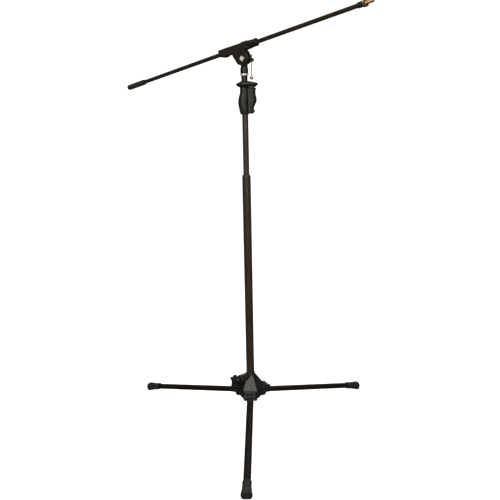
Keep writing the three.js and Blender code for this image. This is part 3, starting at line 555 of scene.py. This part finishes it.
def hub():
    lobe_side = ([(14, HUB_BOTTOM), (36, HUB_BOTTOM)]
                 + arc(LEG_PIN_RADIUS, LEG_PIN_HEIGHT, 12, -75, 118)
                 + [(42, 112.5), (15, 151), (14, 151)])
    lobe_plan = [(12, -8), (41, -22), (48, -HUB_BOSS_HALF), (68, -HUB_BOSS_HALF),
                 (68, HUB_BOSS_HALF), (48, HUB_BOSS_HALF), (41, 22), (12, 8)]
    slot = [(30.5, HUB_BOTTOM - 2), (90, HUB_BOTTOM - 2), (90, 118), (54, 106.6), (42, 106.6), (30.5, 96)]
    lobe = worked("INTERSECT", upright(lobe_side, -24, 24), flat(lobe_plan, HUB_BOTTOM - 1, HUB_TOP))
    core = turned(eased([
        (0, HUB_BOTTOM), (31, HUB_BOTTOM), (34, 80.5), (33.5, 92), (30, 106), (18, 136),
        (HUB_COLLAR_R, 148, 3), (HUB_COLLAR_R, HUB_TOP), (0, HUB_TOP)], 1.5))
    body, tools = core, [rod(HUB_BORE_R, HUB_BOTTOM - 1, HUB_TOP + 1, 96)]
    for name in LEGS:
        outward = direction("leg_fold_" + name).cross(UP)
        spoke = Matrix.Rotation(math.atan2(outward.y, outward.x), 4, "Z")
        pin_hole = along_y(rod(LEG_PIN_R + 0.4, -30, 30))
        body = worked("UNION", body, moved(lobe, spoke))
        tools.append(moved(upright(slot, -HUB_SLOT_HALF, HUB_SLOT_HALF), spoke))
        tools.append(moved(pin_hole, spoke @ Matrix.Translation((LEG_PIN_RADIUS, 0, LEG_PIN_HEIGHT))))
    toward_knob = (Matrix.Translation((0, 0, KNOB_HEIGHT))
                   @ Matrix.Rotation(math.atan2(knob_axis.y, knob_axis.x), 4, "Z"))
    body = worked("UNION", body, moved(along_x(rod(KNOB_BOSS_R, 12, KNOB_BOSS_END)), toward_knob))
    tools.append(moved(along_x(rod(KNOB_SCREW_R + GAP, 10, KNOB_BOSS_END + 1)), toward_knob))
    return cast(worked("DIFFERENCE", body, *tools), 0.8, 6)


piece("leg_hub", hub(), COLUMN, "base", hub_paint, "hub_paint", "hub_casting", crease=180)


def knob():
    """Five pointed lobes with a rounded rim, a dished face and a domed crown, past the hub's boss."""
    lobes, mean, swing = 5, 15.5, 4.5
    rings = []
    for z, inset in ((11.5, 1.7), (11.9, 0.7), (12.8, 0.1), (13.6, 0), (20.4, 0), (21.2, 0.1), (22.1, 0.7),
                     (22.5, 1.7), (22.5, 2.8), (21.9, 3.8), (21.5, 5)):
        ring = []
        for i in range(120):
            angle = TAU * i / 120
            tip = (0.5 + 0.5 * math.cos(lobes * angle)) ** 1.5 * 2 - 1
            r = mean + swing * tip - inset
            ring.append((r * math.cos(angle), r * math.sin(angle), z))
        rings.append(ring)
    crown = turned(eased([(0, 20.5), (8.5, 20.5), (8.5, 25.5, 2.2), (0, 25.5)], 1))
    neck = turned(eased([(0, 0.5), (7, 0.5), (7, 9), (8.6, 12.6), (0, 12.6)], 0.8))
    return moved(together(skin(rings), crown, neck), Matrix.Translation((0, 0, KNOB_BOSS_END)))


piece("clamp_knob", knob(), KNOB, "base_knob", black_plastic, "black_plastic", "base_knob")
piece("clamp_knob_screw", threaded(KNOB_SCREW_R, 0.35, 1.0, LOWER_TUBE_R + 0.4, KNOB_BOSS_END + 10), KNOB,
      "base_knob", steel, "steel", "base_knob_screw")

# ---------------------------------------------------------------- legs
LEG_HALF_WIDTH, LEG_HALF_HEIGHT, LEG_WALL = 10.3, 8.0, 1.2
LEG_START, LEG_END = 18, 368
BOOT_START, BOOT_END = 333, 380


def leg_tube():
    bore = (LEG_HALF_WIDTH - LEG_WALL, LEG_HALF_HEIGHT - LEG_WALL)
    lip = 0.3
    rings = [leg_ring(LEG_START, *bore), leg_ring(LEG_START, LEG_HALF_WIDTH - lip, LEG_HALF_HEIGHT - lip)]
    for x in (LEG_START + lip, LEG_START + 2, LEG_END - 2, LEG_END - lip):
        rings.append(leg_ring(x, LEG_HALF_WIDTH, LEG_HALF_HEIGHT))
    rings += [leg_ring(LEG_END, LEG_HALF_WIDTH - lip, LEG_HALF_HEIGHT - lip), leg_ring(LEG_END, *bore)]
    return skin(rings, closed=True)


def leg_knuckle():
    """The casting that carries the tube on the fold pin: eye, web, socket and spigot."""
    fit = LEG_WALL + GAP
    spigot = skin([leg_ring(x, LEG_HALF_WIDTH - fit, LEG_HALF_HEIGHT - fit) for x in (16, 44)])
    socket = skin([leg_ring(*row) for row in flowing(
        [(-3.7, 8.3, 6.2), (0.4, 10.1, 8.3), (8.3, 10.7, 9.1), (15, 10.6, 8.5), (17.7, 10.3, 8.0)], 4)])
    eye = along_y(turned(eased([(0, -10.6), (8.6, -10.6), (8.6, 10.6), (0, 10.6)], 0.8), 64))
    web = upright([(-7.1, -1.3), (-5.2, -11.4), (9.4, -12.1), (7.6, -1.7)], -7.7, 7.7)
    whole = worked("UNION", eye, web, socket, spigot)
    return cast(worked("DIFFERENCE", whole, along_y(rod(LEG_PIN_R + GAP, -20, 20))), 0.6, 3)


def rubber_boot():
    """Flared boot over the leg's end: a beaded mouth, three shallow ribs and a sole flat on the floor."""
    rows = flowing([
        (BOOT_START, 11.7, 9.6, 10.2), (BOOT_START + 1, 12.5, 10.4, 10.2),
        (BOOT_START + 3, 12.7, 10.6, 10.2), (BOOT_START + 5, 12.3, 10.2, 10.2),
        (BOOT_START + 9, 12.2, 10.1, 10.3), (BOOT_START + 20, 12.8, 10.8, 10.6),
        (BOOT_START + 30, 13.6, 11.8, 10.9), (BOOT_END - 9, 14.9, 12.9, 11.2),
        (BOOT_END - 5, 15.6, 13.4, 11.4), (BOOT_END - 1.5, 15.4, 13.2, 11.4),
        (BOOT_END - 0.3, 14.4, 12.4, 11.4), (BOOT_END, 13.2, 11.2, 11.4)], 6)
    rib_depth, rib_width = 0.35, 0.8
    rings = []
    for x, half_width, half_height, drop in rows:
        rib = rib_depth * sum(math.exp(-((x - BOOT_START - at) / rib_width) ** 2) for at in (13, 18, 23))
        rings.append(leg_ring(x, half_width - rib, half_height - rib, drop))
    mouth = [leg_ring(BOOT_START + depth, LEG_HALF_WIDTH + GAP, LEG_HALF_HEIGHT + GAP) for depth in (3, 0.4)]
    points, faces = skin(mouth + rings)
    sole = []
    for x, y, z in points:
        height = LEG_PIN_HEIGHT - x * math.sin(LEG_SLOPE) + z * math.cos(LEG_SLOPE)
        sole.append((x, y, z + max(0, -height) / math.cos(LEG_SLOPE)))
    return sole, faces


tube_solid, knuckle_solid, boot_solid = leg_tube(), leg_knuckle(), rubber_boot()
PIN_HEAD_R = 4.4
pin_half = HUB_BOSS_HALF + GAP      # from the middle to the underside of a head
pin_end = pin_half + 2
pin_solid = turned(eased([
    (0, -pin_end), (PIN_HEAD_R, -pin_end, 1.6), (PIN_HEAD_R, -pin_half), (LEG_PIN_R, -pin_half, 0),
    (LEG_PIN_R, pin_half, 0), (PIN_HEAD_R, pin_half), (PIN_HEAD_R, pin_end, 1.6), (0, pin_end)], 0.3), 48)
for leg in LEGS:
    where = leg_place(leg)
    piece(f"leg_{leg}_tube", tube_solid, where, f"leg_{leg}", leg_paint_painted_shade, "tube_paint", f"leg_tube_{leg}")
    piece(f"leg_{leg}_knuckle", knuckle_solid, where, f"leg_{leg}", black_plastic, "black_plastic",
          f"leg_knuckle_{leg}", crease=180)
    piece(f"leg_{leg}_boot", boot_solid, where, f"leg_{leg}", rubber, "rubber", f"rubber_foot_{leg}")
    piece(f"leg_{leg}_pin", pin_solid, pin_place(leg), "base", black_steel, "steel", f"leg_pin_{leg}")

# ---------------------------------------------------------------- pistol grip
GRIP_BOTTOM = 946
BODY_RIGHT = 10.5
SEAM_X = 9
SEAM_HALF = 0.15         # half the slit between the two shells
PIN_BORE_R = 1.9
SCREW_BORE_R, SCREW_SINK_R = 1.5, 3.2
LIP_RIGHT, LIP_HALF = 33.4, 14.1       # upper lip of the trigger, which the flange's skirt follows
TRIGGER_X = spot("trigger_squeeze").x / MM
TRIGGER_Z = (spot("trigger_squeeze").z - FLOOR) / MM
TRIGGER_TRAVEL = JOINTS["trigger_squeeze"]["range_deg"][1]
ARM_BOTTOM, ARM_TOP, ARM_HALF = 1006.4, 1011, 4
SLOT_HALF, SLOT_BOTTOM, SLOT_TOP = 4.4, 1003, 1012
CLEAR = 0.4

# height, left edge, half depth
BODY_ROWS = [(GRIP_BOTTOM, -11.6, 11), (948.5, -13.6, 13), (956.5, -15.8, 14.7), (964.5, -17.3, 15.3),
             (972.5, -18.7, 15.6), (980.5, -19.1, 15.6), (989.5, -18.3, 15.2), (997.5, -16.3, 14.4),
             (1005.5, -14, 13.6), (1019.5, -13.6, 13.4)]
# height, outer edge with its finger waves, half depth
TRIGGER_ROWS = [(948, 20.5, 11), (950, 25.4, 12.8), (956.5, 28.4, 13.8), (960, 25.6, 13.9),
                (964.5, 25.6, 14.1), (972.5, 29, 14.4), (980.5, 32.8, 14.4), (989.5, 33.9, 14.3),
                (997.5, 32, 14.2), (1005.5, 30.6, 14.1), (1014.5, 31.2, 14.1), (1018, LIP_RIGHT, 14),
                (1019.5, 32.6, 13.4)]


def body_form(grow=0.0):
    rows = flowing(BODY_ROWS, 5)
    rings = []
    for i, (z, left, half) in enumerate(rows):
        end = {0: -grow, len(rows) - 1: grow}.get(i, 0)
        rings.append(oval(left - grow, BODY_RIGHT + grow, half + grow, z + end))
    return skin(rings)


def pin_lug(grow=0.0):
    """The lug at the body's foot that carries the trigger's pin."""
    outline = [(2, GRIP_BOTTOM + 4 - grow), (16, GRIP_BOTTOM + 5.5 - grow), (19.4 + grow, 955 - grow),
               (19.4 + grow, 963 + grow), (12, 967 + grow), (2, 967 + grow)]
    return upright(outline, -5 - grow, 5 + grow)


def cross_rod(radius, y0, y1, x, z):
    return moved(along_y(rod(radius, y0, y1)), Matrix.Translation((x, 0, z)))


def right_of(x):
    """A block that holds all of the grip to the right of x."""
    return block(x, 60, -40, 40, 900, 1100)


GRIP_SCREWS = {"upper": (-3, 1016), "lower": (-13.2, 968)}


def grip_shell(side):
    """Half of the grip body, from the middle seam outwards, with a fine bevel along the seam."""
    rows = flowing(BODY_ROWS, 5)
    rings = []
    for z, left, half in rows:
        full = oval(left, BODY_RIGHT, half, z)
        count = len(full)
        ring = [full[side * i % count] for i in range(count // 2 + 1)]
        ring[0] = (ring[0][0] - 0.5, side * SEAM_HALF, z)
        ring[-1] = (ring[-1][0] + 0.5, side * SEAM_HALF, z)
        rings.append(ring)
    half_box = block(-60, 60, *sorted((side * SEAM_HALF, side * 40)), 900, 1100)
    lug = worked("INTERSECT", pin_lug(), half_box)
    tools = [
        rod(INNER_TUBE_R + GAP, 900, INNER_TUBE_TOP + GAP, 72),             # column
        rod(3, 970, 1000),                                                  # pull rod
        rod(6.4, 986, 1010),                                                # return spring
        block(-9.6, 40, -SLOT_HALF, SLOT_HALF, SLOT_BOTTOM, SLOT_TOP),      # arm of the trigger
        cross_rod(PIN_BORE_R, -20, 20, TRIGGER_X, TRIGGER_Z),               # pin of the trigger
    ]
    for x, z in GRIP_SCREWS.values():
        tools += [cross_rod(SCREW_BORE_R, -7.5, 20, x, z), cross_rod(SCREW_SINK_R, 8, 20, x, z)]
    return worked("DIFFERENCE", worked("UNION", skin(rings), lug), *tools)


def trigger():
    """Blade with finger waves and the arm that presses the pull rod, clear of the grip over its travel."""
    outer = skin([oval(2 * SEAM_X - right, right, half, z, 2.5)
                  for z, right, half in flowing(TRIGGER_ROWS, 4)])
    blade = worked("INTERSECT", outer, right_of(SEAM_X))
    blade = worked("UNION", blade, block(-3, 24, -ARM_HALF, ARM_HALF, ARM_BOTTOM, ARM_TOP))
    around = body_form(CLEAR)
    keep = block(-9.6, 60, -ARM_HALF, ARM_HALF, SLOT_BOTTOM + CLEAR, SLOT_TOP - CLEAR)
    around = worked("INTERSECT", worked("DIFFERENCE", around, keep), right_of(3))
    to_pin = Matrix.Translation((TRIGGER_X, 0, TRIGGER_Z))
    tools = [cross_rod(PIN_BORE_R, -12.2, 12.2, TRIGGER_X, TRIGGER_Z)]
    for step in (0, 0.5, 1.05):
        turn = to_pin @ Matrix.Rotation(math.radians(step * TRIGGER_TRAVEL), 4, "Y") @ to_pin.inverted()
        tools += [moved(around, turn), moved(pin_lug(CLEAR), turn)]
    return cast(worked("DIFFERENCE", blade, *tools), 0.5, 3)


COLLAR_R = 8.75          # plain collar of the neck stud


def grip_flange():
    """Trumpet-shaped top of the grip, with a short skirt beside the trigger and a bore for the neck stud."""
    rows = flowing([(-13.6, 9.5, 13.2, 1019.8), (-14.4, 25.5, 14, 1021.2), (-16, 30, 14.9, 1022),
                    (-19, 32.5, 16.4, 1023.6), (-22.6, 34.5, 18.6, 1025.8), (-24.4, 38, 20, 1028.4),
                    (-23.4, 38.2, 19.6, 1031.2), (-17.8, 32.5, 16.4, 1034.3), (-12.5, 20.5, 12.6, 1036.9),
                    (-10.8, 13, 10.8, 1038.2)], 4)
    plate = skin([oval(*row) for row in rows])

    def beside(grow, bottom, top):
        return skin([oval(2 * SEAM_X - LIP_RIGHT - grow, LIP_RIGHT + grow, LIP_HALF + grow, z, 2.5)
                     for z in (bottom, top)])

    skirt = worked("INTERSECT", beside(2.2, 1017.7, 1024), block(11.2, 28, -40, 40, 1000, 1025))
    whole = worked("UNION", plate, skirt)
    pocket = worked("INTERSECT", beside(0.6, 1000, 1021.1), block(11, 60, -40, 40, 999, 1025))
    return cast(worked("DIFFERENCE", whole, pocket, rod(COLLAR_R + GAP, 1024, 1050, 96)), 0.5, 3)


def return_spring():
    """Coil round the pull rod, short enough to stay clear of the rod's head when the trigger is squeezed."""
    radius, wire, turns, clearance = 4.4, 0.45, 5, 0.7
    low, high = (corner.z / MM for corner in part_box("trigger_spring"))
    low, high = low - FLOOR / MM + wire, high - FLOOR / MM - wire - clearance
    rings = []
    steps, sides = 40 * turns, 12
    for i in range(steps + 1):
        angle = TAU * turns * i / steps
        height = low + (high - low) * i / steps
        ring = []
        for j in range(sides):
            r = radius + wire * math.cos(TAU * j / sides)
            z = height + wire * math.sin(TAU * j / sides)
            ring.append((r * math.cos(angle), r * math.sin(angle), z))
        rings.append(ring)
    return skin(rings)


piece("trigger_return_spring", return_spring(), COLUMN, "upper_column", steel, "steel", "trigger_spring")
for name, side in (("near", -1), ("far", 1)):
    piece(f"grip_body_{name}", grip_shell(side), COLUMN, "upper_column", grip_plastic, "grip_plastic",
          f"grip_shell_{name}")
piece("grip_trigger", trigger(), COLUMN, "trigger", grip_plastic, "grip_plastic", "trigger", crease=180)
piece("grip_rim", grip_flange(), COLUMN, "upper_column", black_plastic, "grip_plastic", "grip_flange",
      crease=180)

STUD_R = 7.94
NECK_TOP = 1069.5
RING_LOW, RING_HIGH = 1053.4, 1058
COLLAR_TOP = RING_LOW - GAP
neck_collar = turned(eased([(0, 1024.3), (COLLAR_R, 1024.3), (COLLAR_R, COLLAR_TOP), (0, COLLAR_TOP)], 0.6))
piece("neck_thread", together(neck_collar, threaded(STUD_R, 0.5, 0.94, COLLAR_TOP - 1, NECK_TOP, 72)), COLUMN,
      "upper_column", black_steel, "black_steel", "neck_stud", crease=80)

# ---------------------------------------------------------------- swivel


def knurl(teeth, depth, low, high):
    """Straight knurling between two heights, for turned()."""
    def shape(radius, z, angle):
        inside = low < z < high
        return radius - (depth * (0.5 - 0.5 * math.cos(teeth * angle)) if inside else 0)
    return shape


RING_R = 11.8
COUPLER_R, COUPLER_TOP = 11.2, 1074
SHANK_R, SOCKET_R = 6, 8.25
BOLT_R = 3
TILT_BORE_R = BOLT_R + GAP
ring_profile = eased([(SOCKET_R, RING_LOW), (RING_R, RING_LOW), (RING_R, RING_HIGH), (SOCKET_R, RING_HIGH)],
                     0.5, closed=True)
piece("neck_lock_ring", turned(ring_profile, 288, knurl(48, 0.35, RING_LOW + 0.6, RING_HIGH - 0.6)), COLUMN,
      "lock_ring", bright_steel, "bright_steel", "lock_ring", crease=50)
coupler_low, groove_r = RING_HIGH + GAP, COUPLER_R - 0.4
coupler_profile = [
    (SOCKET_R, coupler_low), (COUPLER_R, coupler_low), (COUPLER_R, 1060.4), (groove_r, 1060.8),
    (groove_r, 1061.6), (COUPLER_R, 1062), (COUPLER_R, COUPLER_TOP, 0.8), (SHANK_R + GAP, COUPLER_TOP),
    (SHANK_R + GAP, NECK_TOP + GAP, 0), (SOCKET_R, NECK_TOP + GAP, 0)]
piece("neck_coupler", turned(eased(coupler_profile, 0.4, closed=True)), COLUMN, "swivel", black_steel,
      "black_steel", "coupler")


def tongue():
    """The upright tongue between the boom block's ears, on a shank that sits in the coupler."""
    half_width, half_thick = 10, 3.4
    shank = rod(SHANK_R, NECK_TOP + GAP, COUPLER_TOP + 1, 72)
    plate = block(-half_width, half_width, -half_thick, half_thick, COUPLER_TOP + GAP, TILT_HEIGHT)
    head = moved(along_y(rod(half_width, -half_thick, half_thick, 72)),
                 Matrix.Translation((0, 0, TILT_HEIGHT)))
    hole = cross_rod(TILT_BORE_R, -20, 20, 0, TILT_HEIGHT)
    return cast(worked("DIFFERENCE", worked("UNION", shank, plate, head), hole), 0.4, 3)


piece("tilt_tongue_casting", tongue(), SWIVEL, "swivel", hub_paint, "hub_paint", "tilt_tongue", crease=180)

# ---------------------------------------------------------------- boom block and its clamp
EAR_INNER, EAR_OUTER = 5, 8.8
BLOCK_END = 24
COLLET_R = 8
BOOM_R, BOOM_BORE_R = 5.85, 4.85
BOOM_CLEAR_R = BOOM_R + GAP


def boom_block():
    top = boom_offset + 13
    half = EAR_OUTER + 1
    under = boom_offset - 10
    nose_r, nose_end = 9.2, 46
    side = [(-81, top - 0.4), (-81, top - 4), (-74, under + 0.6), (-68, under - 1.2), (-58, under - 1.2),
            (-51, under + 1.2), (-38, under), (BLOCK_END, under), (BLOCK_END, top - 1), (14, top - 0.2),
            (5, top), (-1, top - 2.4)]
    shoulder_r, shoulder_z = 8, top - 7.7
    section = ([(-half, 20), (half, 20)] + arc(half - shoulder_r, shoulder_z, shoulder_r, 0, 90, 10)
               + arc(shoulder_r - half, shoulder_z, shoulder_r, 90, 180, 10))
    bar = prism(*([(x, y, z) for y, z in section] for x in (-100, 40)))
    ear = eased([(-37, 23.4), (-23.2, -3), (-21.6, -7.6), (-17.6, -12), (-11.4, -15.2), (-3, -16.6),
                 (5.6, -16.2), (12.6, -14), (17.6, -10), (20.6, -4.4), (20.6, 1.6), (13.4, 23.4)], 12,
                closed=True)
    lift = Matrix.Translation((0, 0, boom_offset))
    bores = [moved(along_x(rod(BOOM_CLEAR_R + 0.2, -100, 60)), lift),
             moved(along_x(rod(COLLET_R + 0.4, 14, 60)), lift), along_y(rod(TILT_BORE_R, -20, 20))]
    whole = worked("UNION", worked("INTERSECT", upright(side, -20, 20), bar),
                   upright(ear, EAR_INNER, EAR_OUTER), upright(ear, -EAR_OUTER, -EAR_INNER),
                   moved(along_x(rod(nose_r, BLOCK_END - 1, nose_end, 72)), lift))
    return cast(worked("DIFFERENCE", whole, *bores), 0.45, 4)


piece("boom_block_casting", boom_block(), BOOM, "boom_head", block_paint, "hub_paint", "boom_block",
      crease=180)

nut_profile = eased([
    (9.5, 24.3), (11, 24.3), (11.8, 26), (11.6, 30), (10.7, 40), (10.7, 49), (11.4, 50.6), (10.8, 52.5),
    (6.4, 52.5), (6.4, 50.4, 0), (8.4, 50.4, 0), (8.4, 47, 0), (9.5, 47, 0)], 0.7, closed=True)


def nut_flutes(radius, z, angle):
    """Twelve shallow finger flutes that fade out towards both ends of the nut."""
    fade = max(0.0, 1 - abs(z - 39) / 11)
    return radius - 0.5 * fade * (0.5 - 0.5 * math.cos(12 * angle)) ** 2 if radius > 10 else radius


piece("boom_collet_nut", turned(nut_profile, 192, nut_flutes), BOOM_AXIS, "collet_nut", black_plastic,
      "black_plastic", "collet_nut")


def bolt():
    """Square head, corner up, with its edges and corners chamfered and a dimple, on a plain shank."""
    head_r = 7.8
    rings = []
    for z, inset, limit in ((-9.1, 0.5, 7.2), (-9.5, 0, 7.5), (-11.8, 0, 7.5), (-12.1, 0.2, 7.2),
                            (-12.3, 0.6, 6.8), (-12.3, 2.4, 2.0), (-12.1, 3.1, 1.4), (-12.0, 4, 0.6)):
        ring = []
        for i in range(96):
            angle = TAU * i / 96
            flat_r = (head_r - inset) * math.cos(math.pi / 4)
            edge = flat_r / math.cos((angle % (math.pi / 2)) - math.pi / 4)
            r = min(edge, limit)
            ring.append((r * math.cos(angle), r * math.sin(angle), z))
        rings.append(ring)
    return together(skin(rings), rod(BOLT_R, -9.2, 26))


piece("tilt_bolt_head", bolt(), TILT_AXIS, "boom_head", nickel, "nickel", "tilt_bolt", crease=25)
for side, (y0, y1) in (("near", (-4.7, -3.7)), ("far", (3.7, 4.7))):
    washer = turned(eased([(TILT_BORE_R, y0), (9, y0), (9, y1), (TILT_BORE_R, y1)], 0.25, closed=True))
    piece(f"tilt_washer_{side}", washer, TILT_AXIS, "boom_head", rubber, "rubber", f"friction_washer_{side}")

# ---------------------------------------------------------------- clamp screw and its sliding bar
BAR_R, BAR_LOW, BAR_HIGH = 1.4, -47, 10.4
screw_body = turned(eased([(0, 9.1), (8, 9.1), (8, 22), (6, 25), (6, 39), (5, 41, 0.8), (0, 41)], 0.5), 72)
upright_in_tilt = TILT_AXIS.to_3x3().inverted().to_4x4()
screw_solid = worked("DIFFERENCE", screw_body, rod(TILT_BORE_R, 0, 26.5),
                     moved(rod(BAR_R + 0.4, -20, 20),
                           Matrix.Translation((0, 0, BAR_DISTANCE)) @ upright_in_tilt))
piece("boom_clamp_screw", screw_solid, TILT_AXIS, "clamp_screw", steel, "steel", "clamp_screw")
bar_solid = turned(eased([(0, BAR_LOW), (BAR_R, BAR_LOW), (BAR_R, BAR_HIGH), (0, BAR_HIGH)], 0.4), 32)
piece("slide_bar_rod", bar_solid, BAR, "slide_bar", rose_nickel, "nickel", "slide_bar")


def ball(radius, centre, neck):
    """A turned ball with a short collar where the bar enters it, on the side given by neck."""
    points = [(radius * math.sin(math.pi * k / 24), -neck * radius * math.cos(math.pi * k / 24))
              for k in range(1, 22)]
    end = neck * radius * 1.02
    profile = [(0, -neck * radius)] + points + [(0.46 * radius, end), (0, end)]
    return turned([(r, centre + z) for r, z in profile], 64)


piece("slide_bar_top", ball(3.2, 11.2, -1), BAR, "slide_bar", pale_nickel, "nickel", "slide_bar_ball_top")
piece("slide_bar_foot", ball(5.5, -49.5, 1), BAR, "slide_bar", pale_nickel, "nickel", "slide_bar_ball_low")

# ---------------------------------------------------------------- boom
BOOM_LEFT, BOOM_RIGHT = -474, 375.8
SLEEVE_LEFT, SLEEVE_END = BOOM_LEFT - 6, -398
STUD_BASE = BOOM_RIGHT + GAP
SLEEVE_R = 8.5

piece("boom_tube_long", rounded_tube(BOOM_R, BOOM_BORE_R, BOOM_LEFT, BOOM_RIGHT, 0.25, 72), BOOM_AXIS, "boom",
      boom_paint, "tube_paint", "boom_tube")
sleeve = [(0, SLEEVE_LEFT), (4.5, SLEEVE_LEFT), (7.4, SLEEVE_LEFT + 1.6), (SLEEVE_R, SLEEVE_LEFT + 5),
          (SLEEVE_R, SLEEVE_END - 22, 0.2)]
for k in range(3):
    groove = SLEEVE_END - 22 + 3.2 * k
    sleeve += [(SLEEVE_R, groove + 0.6), (SLEEVE_R - 0.5, groove + 1.1), (SLEEVE_R - 0.5, groove + 1.9),
               (SLEEVE_R, groove + 2.4)]
sleeve += [(SLEEVE_R, SLEEVE_END - 9), (7, SLEEVE_END - 1), (6.55, SLEEVE_END), (BOOM_CLEAR_R, SLEEVE_END),
           (BOOM_CLEAR_R, BOOM_LEFT - GAP, 0), (0, BOOM_LEFT - GAP)]
piece("boom_weight_sleeve", turned(eased(sleeve, 0.6), 72), BOOM_AXIS, "boom", rubber, "rubber",
      "counterweight_sleeve")
bush_left = BOOM_RIGHT - 14
tip_bush = eased([
    (BOOM_CLEAR_R, bush_left), (7.2, bush_left), (7.6, bush_left + 2), (7.6, BOOM_RIGHT),
    (BOOM_CLEAR_R, BOOM_RIGHT)], 0.4, closed=True)
piece("boom_tip_bush", turned(tip_bush, 72), BOOM_AXIS, "boom", black_plastic, "black_plastic", "tip_bush")

TIP_R, TIP_ROOT_R, TIP_END_R = 4.76, 4.55, 3.9
THREAD_END, STUD_END = STUD_BASE + 27.8, STUD_BASE + 28.7
tip_root = rod(TIP_ROOT_R, BOOM_RIGHT - 16, STUD_BASE, 64)
tip_thread = threaded(TIP_R, 0.75, 1.59, STUD_BASE, THREAD_END)
tip_end = turned(eased([
    (0, STUD_BASE + 26), (TIP_END_R, STUD_BASE + 26), (TIP_END_R, STUD_END), (0, STUD_END)], 0.9), 64)
piece("boom_tip_thread", together(tip_root, tip_thread, tip_end), BOOM_AXIS, "boom", brass, "brass",
      "tip_stud", crease=80)
tip_nut = eased([
    (TIP_R + GAP, STUD_BASE + 0.2), (8.6, STUD_BASE + 0.2), (9.25, STUD_BASE + 1), (9.25, STUD_BASE + 10),
    (8.4, STUD_BASE + 11), (TIP_R + GAP, STUD_BASE + 11)], 0.3, closed=True)
piece("boom_tip_nut", turned(tip_nut, 288, knurl(48, 0.3, STUD_BASE + 1.2, STUD_BASE + 9.8)), BOOM_AXIS,
      "tip_lock_nut", brass, "brass", "tip_lock_nut", crease=50)

# ---------------------------------------------------------------- carried-over CAD nodes
KEPT = {
    "clutch_collet": black_plastic, "clutch_cone": steel, "clutch_nut": steel, "pull_rod": steel,
    "trigger_pin": steel, "grip_screw_upper": steel, "grip_screw_lower": steel,
    "boom_collet": black_plastic, "counterweight_slug": steel,
}
for name, material in KEPT.items():
    node = frame["nodes"][name]
    for index in range(len(node.material_slots)):
        node.material_slots[index].material = material

# ---------------------------------------------------------------- stage
STAGE_R, STAGE_WALL, STAGE_BEND = 3.6, 3.4, 0.8


def studio():
    """A round pale floor that curves up into a wall on every side."""
    flat_r = STAGE_R - STAGE_BEND
    profile = [(0.0, 0.0), (0.5, 0.0), (1.5, 0.0), (flat_r, 0.0)]
    for k in range(1, 13):
        angle = math.pi / 2 * k / 12
        profile.append((flat_r + STAGE_BEND * math.sin(angle), STAGE_BEND * (1 - math.cos(angle))))
    profile.append((STAGE_R, STAGE_WALL))
    sides = 96
    points = [(0, 0, FLOOR)]
    for r, z in profile[1:]:
        points += [(r * math.cos(TAU * i / sides), r * math.sin(TAU * i / sides), FLOOR + z)
                   for i in range(sides)]
    faces = [(0, 1 + i, 1 + (i + 1) % sides) for i in range(sides)]
    for row in range(len(profile) - 2):
        a, b = 1 + row * sides, 1 + (row + 1) * sides
        faces += [(a + i, b + i, b + (i + 1) % sides, a + (i + 1) % sides) for i in range(sides)]
    mesh = bpy.data.meshes.new("studio")
    mesh.from_pydata(points, [], faces)
    for face in mesh.polygons:
        face.use_smooth = True
    obj = bpy.data.objects.new("studio", mesh)
    scene.collection.objects.link(obj)
    return obj


floor = studio()
paper = bpy.data.materials.new("paper")
paper.use_nodes = True
paper_shader = paper.node_tree.nodes["Principled BSDF"]
paper_shader.inputs["Base Color"].default_value = colour(0.9, 0.9, 0.9)
paper_shader.inputs["Roughness"].default_value = 0.9
paper_shader.inputs["Specular IOR Level"].default_value = 0.0
paper_shader.inputs["Emission Color"].default_value = colour(1, 1, 1)
paper_shader.inputs["Emission Strength"].default_value = 0.95
floor.data.materials.append(paper)
floor.visible_glossy = False
floor.visible_diffuse = False

world = bpy.data.worlds.new("studio")
scene.world = world
world.use_nodes = True
world.node_tree.nodes["Background"].inputs["Color"].default_value = colour(0.97, 0.98, 1.0)
world.node_tree.nodes["Background"].inputs["Strength"].default_value = 0.08


def softbox(name, place_at, aim, width, height, power, tint=(1, 1, 1)):
    data = bpy.data.lights.new(name, "AREA")
    data.shape = "RECTANGLE"
    data.size, data.size_y = width, height
    data.energy = power
    data.color = tint
    obj = bpy.data.objects.new(name, data)
    obj.location = place_at
    obj.rotation_mode = "QUATERNION"
    obj.rotation_quaternion = (Vector(aim) - Vector(place_at)).to_track_quat("-Z", "Y")
    obj.visible_camera = False
    scene.collection.objects.link(obj)


softbox("key", (-0.7, -2.4, 1.6), (0, 0, 0.5), 0.7, 1.8, 34, (1.0, 0.92, 0.83))
softbox("front_fill", (1.0, -2.3, 1.1), (0, 0, 0.4), 0.5, 1.6, 14, (1.0, 0.94, 0.87))
softbox("front_top", (0.1, -1.5, 2.1), (0, 0, 0.1), 0.5, 0.5, 9, (0.96, 1.0, 0.97))
softbox("top", (0, 0.2, 2.6), (0, 0, 0.3), 1.2, 1.2, 16)
softbox("back", (0.4, 2.4, 1.7), (0, 0, 0.5), 0.7, 1.5, 12, (1.0, 0.93, 0.86))

# ---------------------------------------------------------------- camera
LENS, SENSOR = 43.2, 36.0
PITCH, YAW, ROLL = 0.2168, 0.001, -0.0193     # radians down, right and about the view
CAMERA_AT = Vector((0.00457, -1.7595, 0.86665))

camera_data = bpy.data.cameras.new("camera")
camera_data.lens = LENS
camera_data.sensor_width = SENSOR
camera = bpy.data.objects.new("camera", camera_data)
scene.collection.objects.link(camera)
ahead = Vector((math.sin(YAW) * math.cos(PITCH), math.cos(YAW) * math.cos(PITCH), -math.sin(PITCH)))
level = Vector((math.cos(YAW), -math.sin(YAW), 0))
over = level.cross(ahead)
right = level * math.cos(ROLL) + over * math.sin(ROLL)
above = over * math.cos(ROLL) - level * math.sin(ROLL)
camera.matrix_world = place(CAMERA_AT, right, above, -ahead)
scene.camera = camera
scene.view_settings.view_transform = "Standard"
